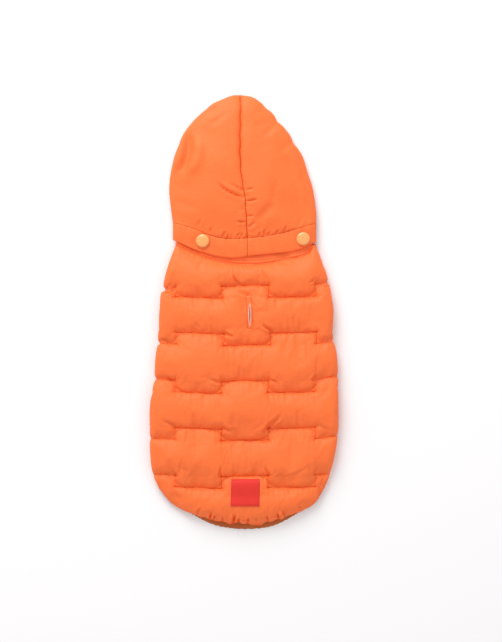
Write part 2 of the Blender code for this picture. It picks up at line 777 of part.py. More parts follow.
def build_snap(name, centre, band_tree, collar_tree, collection):
    """Domed cap with a shallow dimple on the band, and the socket under it on the collar."""
    x, y = centre
    radius, height = SNAP_CAP_RADIUS, SNAP_CAP_HEIGHT
    cap_profile = (
        (0.0, height - 0.0003),
        (radius * 0.25, height - 0.0001),
        (radius * 0.50, height),
        (radius * 0.74, height - 0.0005),
        (radius * 0.92, height - 0.0013),
        (radius, height * 0.35),
        (radius, 0.0002),
        (radius - 0.0002, 0.0),
        (0.0, 0.0),
    )
    seat = height_on(band_tree, x, y) + SEAM_GAP
    turned("snap_cap_" + name, cap_profile, (x, y, seat), PALE_ORANGE, collection, 0.35)
    wide = SNAP_SOCKET_RADIUS
    socket_profile = (
        (0.0, SNAP_SOCKET_HEIGHT),
        (wide * 0.9, SNAP_SOCKET_HEIGHT),
        (wide, SNAP_SOCKET_HEIGHT * 0.6),
        (wide, 0.0),
        (0.0, 0.0),
    )
    ring = np.linspace(0, 2 * math.pi, SNAP_SIDES, endpoint=False)
    rim = [height_on(collar_tree, x + wide * math.cos(a), y + wide * math.sin(a)) for a in ring]
    foot = max(rim) + SEAM_GAP
    turned("snap_socket_" + name, socket_profile, (x, y, foot), PALE_ORANGE, collection, 0.35)


def build_label(collection, tree):
    """Square patch that rests on the back and follows it."""
    across = np.linspace(-0.5, 0.5, LABEL_COLUMNS) * LABEL_SIZE[0] + LABEL_CENTRE[0]
    down = np.linspace(0.5, -0.5, LABEL_ROWS) * LABEL_SIZE[1] + LABEL_CENTRE[1]
    reach = LABEL_SIZE[0] / (LABEL_COLUMNS - 1) / 2
    heights = [[highest_near(tree, x, y, reach) + SEAM_GAP for x in across] for y in down]
    foot = stacked(across, down[:, None], np.array(heights))
    top = foot + np.array([0, 0, LABEL_THICKNESS])
    mesh = wall_mesh("label", top, foot)
    return make_object("label", mesh, RED, collection)


def build_hem_band(collection):
    """Elastic casing under the tail: a strip along the hem that shows past it in the middle."""
    steps = HEM_STEPS_PER_GATHER * HEM_GATHERS
    share = np.linspace(0, 1, steps + 1)
    left, right = HEM[0].x + HEM_BAND_END, HEM[-1].x - HEM_BAND_END
    turn = (share - 0.5) * math.pi
    x = (left + right) / 2 + (right - left) / 2 * np.sin(turn)
    edge = stacked(x, edge_y(HEM, x), 0.0)[:, :2]
    run = np.gradient(edge, axis=0)
    out = np.stack([run[:, 1], -run[:, 0]], axis=1)
    out /= np.linalg.norm(out, axis=1)[:, None]
    shown = HEM_BAND_SHOWN * ramp(np.abs(x), *HEM_BAND_SHOWS) - HEM_BAND_BACK
    wave = np.cos(share * HEM_GATHERS * 2 * math.pi)
    reach = shown + HEM_GATHER_DEPTH * wave
    width = HEM_BAND_WIDTH * (0.5 + 0.5 * ramp(np.abs(turn), *HEM_BAND_NARROWS))
    rings = []
    for inwards, upwards in HEM_BAND_SECTION:
        inset = inwards * width
        plan = edge + out * (reach * (1 - inwards) - inset)[:, None]
        rings.append(stacked(plan[:, 0], plan[:, 1], HEM_BAND_THICKNESS * upwards))
    points = np.array(rings).transpose(1, 0, 2)
    count = len(HEM_BAND_SECTION)
    faces = grid_faces(steps + 1, count, wrap=True)
    faces.append(tuple(range(count)))
    faces.append(tuple(steps * count + i for i in reversed(range(count))))
    mesh = bpy.data.meshes.new("hem_band")
    mesh.from_pydata(points.reshape(-1, 3).tolist(), [], faces)
    turn_outwards(mesh)
    return make_object("hem_band", mesh, DARK_ORANGE, collection)


def main():
    for leftover in list(bpy.data.objects):
        bpy.data.objects.remove(leftover)
    coat = bpy.data.collections.new("Dog winter coat")
    cutters = bpy.data.collections.new("Cutters")
    bpy.context.scene.collection.children.link(coat)
    bpy.context.scene.collection.children.link(cutters)
    back = build_back(coat, cutters)
    build_belly(coat, cutters)
    collar = build_collar(coat)
    bands = {}
    for side, name in ((-1, "left"), (1, "right")):
        build_leg_binding("leg_binding_" + name, side, coat)
        build_hood("hood_" + name, side, coat)
        bands[name] = build_band("hood_band_" + name, side, coat)
    build_hem_band(coat)
    back_tree = tree_of(back)
    build_slit_binding(coat, back_tree)
    build_label(coat, back_tree)
    collar_tree = tree_of(collar)
    for name, centre in SNAP_CENTRES.items():
        build_snap(name, centre, tree_of(bands[name]), collar_tree, coat)


main()
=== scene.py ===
"""Looks of a small dog's padded winter coat, laid flat on its belly with the back up.

Metres, +Z up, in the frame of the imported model: +Y runs from the tail to the hood and +X is the
right-hand side seen from above. Every piece is a closed surface worked out on a grid of points.
"""

from __future__ import annotations

import logging
import math
from collections.abc import Callable
from dataclasses import dataclass, field
from enum import Enum

import bpy
import numpy as np
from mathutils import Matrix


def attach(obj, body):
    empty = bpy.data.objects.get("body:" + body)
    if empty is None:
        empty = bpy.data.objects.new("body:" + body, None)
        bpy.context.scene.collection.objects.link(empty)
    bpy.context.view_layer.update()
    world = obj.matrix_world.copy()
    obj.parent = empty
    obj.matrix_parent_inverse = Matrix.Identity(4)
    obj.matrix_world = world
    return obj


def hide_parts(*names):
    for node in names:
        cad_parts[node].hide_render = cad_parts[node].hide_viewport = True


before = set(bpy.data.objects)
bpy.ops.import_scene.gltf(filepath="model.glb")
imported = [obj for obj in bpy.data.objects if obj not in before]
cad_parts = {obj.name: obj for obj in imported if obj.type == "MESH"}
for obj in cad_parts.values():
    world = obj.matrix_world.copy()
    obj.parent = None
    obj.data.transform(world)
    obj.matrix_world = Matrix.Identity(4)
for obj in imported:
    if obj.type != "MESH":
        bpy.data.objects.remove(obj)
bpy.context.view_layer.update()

log = logging.getLogger("dog_coat")

Array = np.ndarray
Pair = tuple[float, float]
Colour = tuple[float, float, float]
Mesh = bpy.types.Mesh
Piece = bpy.types.Object
Material = bpy.types.Material
NodeTree = bpy.types.NodeTree
Socket = bpy.types.NodeSocket

MM = 0.001
ROOT = "root"
SEAM_GAP = 0.0003
LAP_GAP = 0.00008
UV_NAME = "cloth"
SHARP_ANGLE = math.radians(62)
CREASE_END = 0.15
SHOULDER_WIDTH = 1.3
CREASE_PAST_END = 1.5
WAVE_SPREAD = (0.7, 1.6)
THREAD_LIFT = 0.0001
FOLD_SHARE = 0.55
HOLLOW_SHARE = 0.3
STRIP_TAPER = 0.1


# ---- curves and grids


@dataclass(frozen=True)
class EdgePoint:
    """A point of an edge that crosses the coat, x to the right and y towards the hood."""

    x: float
    y: float


@dataclass(frozen=True)
class SideFold:
    """Distance of the left and the right flank fold from the middle, at one y along the back."""

    y: float
    left: float
    right: float


def in_mm(kind: type, *rows: tuple[float, ...]) -> tuple:
    """Records of one kind, from rows of their sizes in millimetres."""
    return tuple(kind(*(size * MM for size in row)) for row in rows)


SIDE_FOLDS = in_mm(
    SideFold,
    (72, 73, 75.5), (50, 79.5, 81.5), (30, 86, 88), (0, 89.5, 93),
    (-28, 91, 92.8), (-50, 93.2, 96.6), (-75, 95.2, 98.4), (-95, 99, 99),
    (-135, 99.5, 98), (-157, 98.5, 94), (-172, 96.2, 90.2), (-186, 89.6, 83.6),
)
HEM = in_mm(
    EdgePoint,
    (-89.6, -186), (-83.2, -194.5), (-66.5, -207.2), (-48, -214.8),
    (-27, -220), (0, -223), (27, -220.4), (47, -214.8),
    (64.5, -207.2), (76.2, -198.2), (83.6, -186),
)
NECKLINE_LOW = EdgePoint(0.0045, 0.0496)
NECKLINE_RISE = 0.0185
NECKLINE_DIP = 0.002
NECKLINE_DIP_X = 0.060
NECKLINE_DIP_REACH = 0.011
NECKLINE_KICK = 0.0058
NECKLINE_KICK_SPAN = (0.066, 0.078)
COLLAR_HALF_WIDTH = 0.0717


def curve_through(knots: Array, values: Array, at: Array) -> Array:
    """Smooth curve through the knots, read at each place asked for.

    Each stretch is a cubic whose end slopes are those of the line between the knots on either side.

    Args:
        knots, values: Rising places, and the curve's value at each.
        at: Places to read.

    Returns:
        The curve's value at each place.
    """
    knots = np.asarray(knots, float)
    values = np.asarray(values, float)
    at = np.clip(np.asarray(at, float), knots[0], knots[-1])
    slopes = np.gradient(values, knots)
    start = np.clip(np.searchsorted(knots, at, side="right") - 1, 0, len(knots) - 2)
    width = knots[start + 1] - knots[start]
    share = (at - knots[start]) / width
    rest = 1 - share
    return (
        values[start] * (1 + 2 * share) * rest**2
        + values[start + 1] * (3 - 2 * share) * share**2
        + width * share * rest * (slopes[start] * rest - slopes[start + 1] * share)
    )


def edge_y(edge: tuple[EdgePoint, ...], x: Array) -> Array:
    """Y of an edge that crosses the coat, at each x."""
    return curve_through([point.x for point in edge], [point.y for point in edge], x)


def neckline_y(x: Array) -> Array:
    """Y of the neckline: its rise grows with the square of the way from its lowest point. Towards
    the right-hand end it dips a little and then turns up."""
    rise = NECKLINE_RISE * ((x - NECKLINE_LOW.x) / COLLAR_HALF_WIDTH) ** 2
    dip = NECKLINE_DIP * hill(x - NECKLINE_DIP_X, NECKLINE_DIP_REACH)
    return NECKLINE_LOW.y + rise + NECKLINE_KICK * ramp(x, *NECKLINE_KICK_SPAN) - dip


def side_fold(side: int, y: Array) -> Array:
    """Distance of the left (side -1) or right (side 1) flank fold from the middle at each y."""
    rows = SIDE_FOLDS[::-1]
    return curve_through([row.y for row in rows], [(row.left, row.right)[side > 0] for row in rows], y)


def ramp(value: Array, start: float, end: float) -> Array:
    """0 at start and 1 at end, with a soft turn at both: 3s^2 - 2s^3 of the share s between."""
    share = np.clip((value - start) / (end - start), 0, 1)
    return share * share * (3 - 2 * share)


def hill(distance: Array, width: float) -> Array:
    """1 at no distance, falling away as exp(-(distance / width)^2)."""
    return np.exp(-((distance / width) ** 2))


def stacked(x: Array, y: Array, z: Array) -> Array:
    """One array of xyz points from three arrays that broadcast together."""
    return np.stack(np.broadcast_arrays(x, y, z), axis=-1).astype(float)


@dataclass(frozen=True)
class Ripple:
    """Smooth uneven waves: a sum of sines whose directions and phases come from one seed.

    The wavelength is the mean distance between two crests, and stretch how much longer the waves
    are along Y than along X."""

    wavelength: float
    seed: int
    waves: int = 9
    stretch: float = 1.0

    def at(self, x: Array, y: Array) -> Array:
        """Sum of sin(kx cos a + ky sin a + phase) over the waves, scaled to about -1 to 1.

        Args:
            x, y: Place of each point.

        Returns:
            The height of the waves there.
        """
        draw = np.random.default_rng(self.seed)
        angle = draw.uniform(0, 2 * math.pi, self.waves)
        size = 2 * math.pi / (self.wavelength * draw.uniform(*WAVE_SPREAD, self.waves))
        phase = draw.uniform(0, 2 * math.pi, self.waves)
        along = np.multiply.outer(x, size * np.cos(angle))
        along += np.multiply.outer(y / self.stretch, size * np.sin(angle))
        return np.sin(along + phase).sum(axis=-1) / math.sqrt(self.waves)


@dataclass(frozen=True)
class Crease:
    """Soft trough pressed into cloth between two places, with raised cloth on either side.

    Attributes:
        depth: Depth at its middle. A negative depth makes a ridge.
        width: Half width of the trough.
        bow: How far its middle lies off the straight line, to the left of start to end.
        shoulder: Height of the cloth beside it, as a share of the depth.
    """

    start_x: float
    start_y: float
    end_x: float
    end_y: float
    depth: float
    width: float
    bow: float = 0.0
    shoulder: float = 0.35

    def at(self, x: Array, y: Array) -> Array:
        """Height that the crease adds at each point.

        With s the share of the way along and a the distance across, it is depth times the taper
        1 - (1 - CREASE_END)(2s - 1)^4 times a trough, -exp(-(a / w)^2), and the shoulders beside
        it, hills of SHOULDER_WIDTH w at a = 2w.

        Args:
            x, y: Place of each point.

        Returns:
            The height to add there.
        """
        x, y = x - self.start_x, y - self.start_y
        run = np.array([self.end_x - self.start_x, self.end_y - self.start_y])
        length = float(np.hypot(*run))
        right, up = run / length
        share = (x * right + y * up) / length
        inside = np.clip(share, 0, 1)
        across = y * right - x * up - self.bow * 4 * inside * (1 - inside)
        past = (share - inside) * length
        away = np.hypot(across, past)
        taper = 1 - (1 - CREASE_END) * np.abs(2 * inside - 1) ** 4
        trough = -hill(away, self.width)
        beside = self.shoulder * hill(away - 2 * self.width, SHOULDER_WIDTH * self.width)
        return self.depth * taper * (trough + beside) * hill(past, self.width * CREASE_PAST_END)


def creased(creases: tuple[Crease, ...], x: Array, y: Array) -> Array:
    """Height that all the creases add together at each point."""
    return np.sum([crease.at(x, y) for crease in creases], axis=0)


# ---- meshes


def grid_faces(rows: int, columns: int, wrap: bool = False, first: int = 0) -> Array:
    """Quads of a grid of points numbered row by row.

    Args:
        rows, columns: Size of the grid.
        wrap: Whether the last column joins the first.
        first: Number of the grid's first point.

    Returns:
        The quads, four point numbers each.
    """
    row = np.arange(rows - 1)[:, None] * columns + first
    here = np.arange(columns if wrap else columns - 1)[None, :]
    after = (here + 1) % columns
    quads = np.stack([row + here, row + after, row + columns + after, row + columns + here], axis=-1)
    return quads.reshape(-1, 4)


def rim_pairs(rows: int, columns: int, wrap: bool) -> Array:
    """Pairs of point numbers along a grid's open edges, each in the order that its rim needs.

    Args:
        rows, columns: Size of the grid.
        wrap: Whether the last column joins the first.

    Returns:
        The pairs.
    """
    here = np.arange(columns if wrap else columns - 1)
    after = (here + 1) % columns
    last = (rows - 1) * columns
    pairs = [np.stack([here, after], axis=1), np.stack([last + after, last + here], axis=1)]
    if not wrap:
        row = np.arange(rows - 1) * columns
        pairs.append(np.stack([row + columns, row], axis=1))
        pairs.append(np.stack([row + columns - 1, row + 2 * columns - 1], axis=1))
    return np.concatenate(pairs)


def hole_pairs(kept: Array, columns: int) -> Array:
    """Pairs of point numbers round the holes left by dropped cells, ordered as for a rim.

    Args:
        kept: Whether each cell is kept, rows by columns of cells.
        columns: Number of columns of points.

    Returns:
        The pairs.
    """
    pairs = []
    for first, second, start, step, turned in (
        (kept[:-1], kept[1:], columns, 1, True), (kept[:, :-1], kept[:, 1:], 1, columns, False)
    ):
        for inside, outside, flip in ((first, second, turned), (second, first, not turned)):
            row, cell = np.nonzero(inside & ~outside)
            point = row * columns + cell + start
            pair = np.stack([point, point + step], axis=1)
            pairs.append(pair[:, ::-1] if flip else pair)
    return np.concatenate(pairs)


def mesh_from(name: str, points: Array, faces: Array, flat: Array | None = None) -> Mesh:
    """Mesh from whole arrays of points and quads, smooth shaded and facing outwards.

    The sum of x . (y cross z) over the faces' triangles is six times the volume, so a negative sum
    means that the faces have to be turned round.

    Args:
        name: Name of the mesh.
        points, faces: Points as xyz rows, and quads of four point numbers.
        flat: Each point's place in the flat cloth, for the UV map.

    Returns:
        The mesh.
    """
    corner = points[faces]
    volume = 0.0
    for second, third in ((1, 2), (2, 3)):
        cross = np.cross(corner[:, second], corner[:, third])
        volume += float(np.einsum("ij,ij->", corner[:, 0], cross))
    if volume < 0:
        faces = faces[:, ::-1]
    mesh = bpy.data.meshes.new(name)
    mesh.vertices.add(len(points))
    mesh.loops.add(faces.size)
    mesh.polygons.add(len(faces))
    mesh.vertices.foreach_set("co", points.astype(np.float32).ravel())
    mesh.loops.foreach_set("vertex_index", faces.astype(np.int32).ravel())
    mesh.polygons.foreach_set("loop_start", np.arange(0, faces.size, 4, dtype=np.int32))
    if flat is not None:
        layer = mesh.uv_layers.new(name=UV_NAME)
        layer.uv.foreach_set("vector", flat[faces.ravel()].astype(np.float32).ravel())
    mesh.update(calc_edges=True)
    mesh.shade_smooth()
    mesh.set_sharp_from_angle(angle=SHARP_ANGLE)
    return mesh


def wall_mesh(
    name: str,
    outer: Array,
    inner: Array,
    wrap: bool = False,
    kept: Array | None = None,
    flat: Array | None = None,
) -> Mesh:
    """Closed wall between two grids of points, with rims along its open edges and its holes.

    Args:
        name: Name of the mesh.
        outer, inner: Both faces, rows by columns by xyz.
        wrap: Whether the last column joins the first.
        kept: Which cells are kept, if some are left out as a hole.
        flat: Place of each point of one face in the flat cloth.

    Returns:
        The mesh.
    """
    rows, columns = outer.shape[:2]
    count = rows * columns
    quads = grid_faces(rows, columns, wrap)
    pairs = rim_pairs(rows, columns, wrap)
    if kept is not None:
        quads = quads[kept.ravel()]
        pairs = np.concatenate([pairs, hole_pairs(kept, columns)])
    rims = np.stack([pairs[:, 1], pairs[:, 0], pairs[:, 0] + count, pairs[:, 1] + count], axis=1)
    faces = np.concatenate([quads, quads[:, ::-1] + count, rims])
    points = np.concatenate([outer.reshape(-1, 3), inner.reshape(-1, 3)])
    used = np.unique(faces)
    place = np.zeros(2 * count, np.int64)
    place[used] = np.arange(len(used))
    if flat is not None:
        flat = np.concatenate([flat, flat])[used]
    return mesh_from(name, points[used], place[faces], flat)


def add_piece(mesh: Mesh, nodes: tuple[str, ...], material: Material) -> Piece:
    """Puts a finished mesh into the scene as a piece of the coat.

    Args:
        mesh: The mesh, which gives the piece its name.
        nodes: The solids of the frame that it stands for.
        material: Its material.

    Returns:
        The new object.
    """
    piece = bpy.data.objects.new(mesh.name, mesh)
    bpy.context.scene.collection.objects.link(piece)
    mesh.materials.append(material)
    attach(piece, ROOT)
    if nodes:
        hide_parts(*nodes)
    log.info("%s: %d points, %d faces", mesh.name, len(mesh.vertices), len(mesh.polygons))
    return piece


# ---- the quilted back

JOG_ROOM = 0.003
NOTCH_REACH = 0.0024
STRIP_END_Y = -0.186
STRIP_EDGE_AT_CENTRE = 0.054
UNDERSIDE_SEAM_DEPTH = 0.001
UNDERSIDE_SEAM_WIDTH = 0.003
UNDERSIDE_SEAM_FADE = 0.15
TAIL_DROP = 0.0026
# A pair is where a ramp starts and ends, over -y, -|x| or the way from the hem.
DROP_PAST_BELLY = (0.108, 0.136)
DROP_INSIDE_STRIPS = (-0.064, -0.048)
DROP_OFF_CASING = (0.018, 0.031)
STRIP_THINS = (0.172, 0.186)
SPREAD_TO = 0.083
NECK_FALL_END = 0.060
HEM_FALL = 0.045
HEM_FALL_CURVE = 0.8

SLIT_CENTRE = EdgePoint(0.0045, 0.0)
SLIT_HOLE = (0.0014, 0.019)
SLIT_HOLE_Y = -0.0032
SLIT_BOX = (0.0058, 0.035)
SLIT_SECTION = ((0.0, 0.6), (0.55, 0.8), (0.8, 1.0), (0.92, 0.9), (1.0, 0.45))
SLIT_DENT = 0.0016
SLIT_DENT_REACH = 0.007

LABEL_CENTRE = EdgePoint(0.0008, -0.1893)
LABEL_SIZE = (0.03, 0.0285)
LABEL_SKEW = 0.02

HELD_FOLD_SHARE = 0.2
HELD_BY_SEAM = 0.00002
HELD_BY_SLIT = 0.0008
HELD_BY_LABEL = 0.001
HEM_STIFF = 0.02
HEM_MOVE_SHARE = 0.2
CLOTH = {
    "quality": 5,
    "mass": 0.15,
    "tension_stiffness": 15.0,
    "compression_stiffness": 15.0,
    "shear_stiffness": 5.0,
    "bending_stiffness": 0.05,
    "vertex_group_mass": "held",
    "use_pressure": True,
}

PUCKERS = Ripple(0.0065, seed=5, waves=12, stretch=3.0)
PUCKER_HEIGHT = 0.0008
PUCKER_REACH = 0.005
PUCKER_START = 0.0015
LABEL_CALM = 0.004
HEM_SCALLOPS = Ripple(0.0085, seed=4)
HEM_SCALLOP_DEPTH = 0.0009
HEM_SCALLOPED = (-0.062, -0.040)
HEM_LOBE_REACH = 0.0048
HEM_ROLL = 0.0011
HEM_ROLL_REACH = 0.0026
SLIT_GROOVE = 0.001
SLIT_GROOVE_WIDTH = 0.0008

BACK_CREASES = in_mm(
    Crease,
    (-36.6, -219.5, -35, -211, 4.3, 1.2), (-34, -220, -30.5, -213.5, 3.5, 1),
    (-23.8, -220, -22.6, -215, 2.6, 1), (-12.4, -223.2, -10, -213, 4.9, 1.3),
    (-5.8, -223.5, -6.6, -217, 4.1, 1.1), (2.6, -223.5, 4.2, -216.5, 4.3, 1.2),
    (13, -220.5, 11.8, -216, 2, 1.1), (24.5, -219.5, 23.6, -214, 2.6, 1.1),
    (36.6, -219.2, 34.5, -211.5, 4.3, 1.2), (42.5, -215, 40, -208.5, 2.6, 1.2),
    (-50, -213, -46.5, -206, 2.3, 1.2), (60, -209, 56, -203, 1.7, 1.4),
    (-11.8, 39.2, -4.6, 28.5, 2.4, 1.3, -1), (-83, 22.8, -72.7, 25.2, 1.6, 1.2),
    (-86, -29, -80, -34, 2, 1.2), (-7.8, 22.4, 5, 18, 1.9, 1.7, -0.8),
    (7.8, 9.3, 11.3, 5.6, 1.4, 1), (11.5, 0.6, 24.2, 0, 2, 1.1),
    (-3, -4, 0.8, -7.2, 1, 1.2), (18, 45, 24.5, 32.5, 1, 1.5),
    (-23.5, -21.5, -14, -25.5, 2.2, 1.4), (17.2, -14, 27.5, -20.5, 2.6, 1.5),
    (-54.3, -11.5, -47.8, -16.7, 1.3, 1.1), (67.8, 29.7, 74.2, 33.4, 1.4, 1.2),
    (-82.5, -69.4, -73, -75, 2, 1.5), (-36, -70, -25, -73.2, 1.4, 1.4),
    (26.9, -71.3, 34.5, -74, 1.4, 1.2), (70.5, -73.2, 75, -68, 1.6, 1.3),
    (-84, -115, -72.5, -121, 2, 1.6), (-23.5, -120, -14, -124.8, 2, 1.6),
    (20, -128, 38.5, -109.8, 2.2, 1.9, 1), (78, -120, 86.5, -126.2, 1.2, 1.4),
    (-76, -165, -71.2, -174.5, 1.8, 1.5), (-24.5, -162, -25, -174.5, 1.8, 1.5),
    (22.2, -163, 26.2, -173, 1.8, 1.5), (76, -164, 73.5, -172.5, 1.4, 1.4),
    (-60, -144, -30, -138, 0.5, 3.5, 2), (-10, -92, 2, -108, 0.4, 3),
    (45, -44, 62, -56, 0.4, 3), (-64, -42, -44, -38, 0.5, 3),
    (-50, 48, -38, 36, 0.6, 3), (30, 46, 50, 40, 0.5, 3),
)


def box_distance(x: Array, y: Array, centre: EdgePoint, size: Pair) -> Array:
    """Distance outside an upright rectangle, 0 inside it."""
    past_x = np.maximum(np.abs(x - centre.x) - size[0] / 2, 0)
    past_y = np.maximum(np.abs(y - centre.y) - size[1] / 2, 0)
    return np.hypot(past_x, past_y)


def slit_distance(x: Array, y: Array) -> Array:
    """Distance from the stitched box round the leash slit, 0 inside it."""
    return box_distance(x, y, SLIT_CENTRE, SLIT_BOX)


def slit_line_distance(x: Array, y: Array) -> Array:
    """Distance from the sewn line round the leash slit.

    Args:
        x, y: Place of each point.

    Returns:
        The distance.
    """
    inside = np.minimum(
        SLIT_BOX[0] / 2 - np.abs(x - SLIT_CENTRE.x), SLIT_BOX[1] / 2 - np.abs(y - SLIT_CENTRE.y)
    )
    return np.where(inside > 0, inside, slit_distance(x, y))


def box_path(centre: EdgePoint, size: Pair, steps: int) -> tuple[Array, Array]:
    """Points once round an upright rectangle, clockwise from its upper left corner.

    Args:
        centre, size: The rectangle.
        steps: How many steps the points take round it.

    Returns:
        Their x and their y.
    """
    at = np.linspace(0, 4, steps + 1)
    x = np.interp(at, range(5), np.array([-1, 1, 1, -1, -1]) * size[0] / 2)
    y = np.interp(at, range(5), np.array([1, 1, -1, -1, 1]) * size[1] / 2)
    return centre.x + x, centre.y + y


def label_distance(x: Array, y: Array) -> Array:
    """Distance from the patch on the tail, 0 under it."""
    return box_distance(x, y, LABEL_CENTRE, LABEL_SIZE)


@dataclass(frozen=True)
class NotchShare:
    """How much one seam draws in each flank, as shares of the full notch."""

    left: float
    right: float


NOTCH_SHARES = tuple(
    NotchShare(left, right)
    for left, right in ((1.0, 0.45), (0.75, 0.4), (0.6, 0.25), (0.3, 0.35), (0.05, 0.05))
)


@dataclass(frozen=True)
class SeamShift:
    """How far smoothed-out cloth has shifted: along Y at an x, or along X at a y."""

    place: float
    shift: float


RISE_ACROSS = in_mm(
    SeamShift,
    (-98, 2.2), (-72.5, 1.2), (-48, 0.2), (-23.5, -0.6), (0, 0.4),
    (25.5, 0.4), (50, 0.6), (74.5, 1.6), (98, 5.2),
)
SWAY_ALONG = in_mm(SeamShift, (-178.5, -0.6), (-128.5, -0.5), (-78.5, -0.8), (-28.5, 1.8), (21.5, -0.2))
HEM_LOBES = in_mm(SeamShift, (-36, -1.2), (-18, -0.8), (16, -3.4), (48, 1))
LEFT_SAG = 0.0058
LEFT_SAG_Y = 0.028
LEFT_SAG_REACH = 0.010
LEFT_SAG_SPAN = (0.066, 0.080)
SWAY_WIDTH = 0.09
NECK_FADE = 0.026
HEM_FADE = 0.022


def laid(points: Array) -> Array:
    """Shifts points of the back to how the cloth lies, fading out at the neck edge and the hem.

    Each row of points moves along Y by a smooth curve of its x, and along X by one of its y. On the
    left flank the first seam hangs lower.

    Args:
        points: Points of the back, xyz last.

    Returns:
        The shifted points.
    """
    x, y, z = np.moveaxis(points, -1, 0)
    inside = ramp(neckline_y(x) - y, 0.0, NECK_FADE) * ramp(y - edge_y(HEM, x), 0.0, HEM_FADE)
    rise = curve_through([s.place for s in RISE_ACROSS], [s.shift for s in RISE_ACROSS], x)
    sway = curve_through([s.place for s in SWAY_ALONG], [s.shift for s in SWAY_ALONG], y)
    within = 1 - np.clip(np.abs(x) / SWAY_WIDTH, 0, 1) ** 4
    sag = LEFT_SAG * hill(y - LEFT_SAG_Y, LEFT_SAG_REACH) * ramp(-x, *LEFT_SAG_SPAN)
    return stacked(x + sway * inside * within, y + rise * inside - sag, z)


def closed_up(cells: int, closeness: float = 0.7) -> Array:
    """Shares from 0 to 1 that lie closer together at both ends: s - c sin(2 pi s) / 2 pi."""
    share = np.linspace(0, 1, cells + 1)
    return share - closeness * np.sin(2 * math.pi * share) / (2 * math.pi)


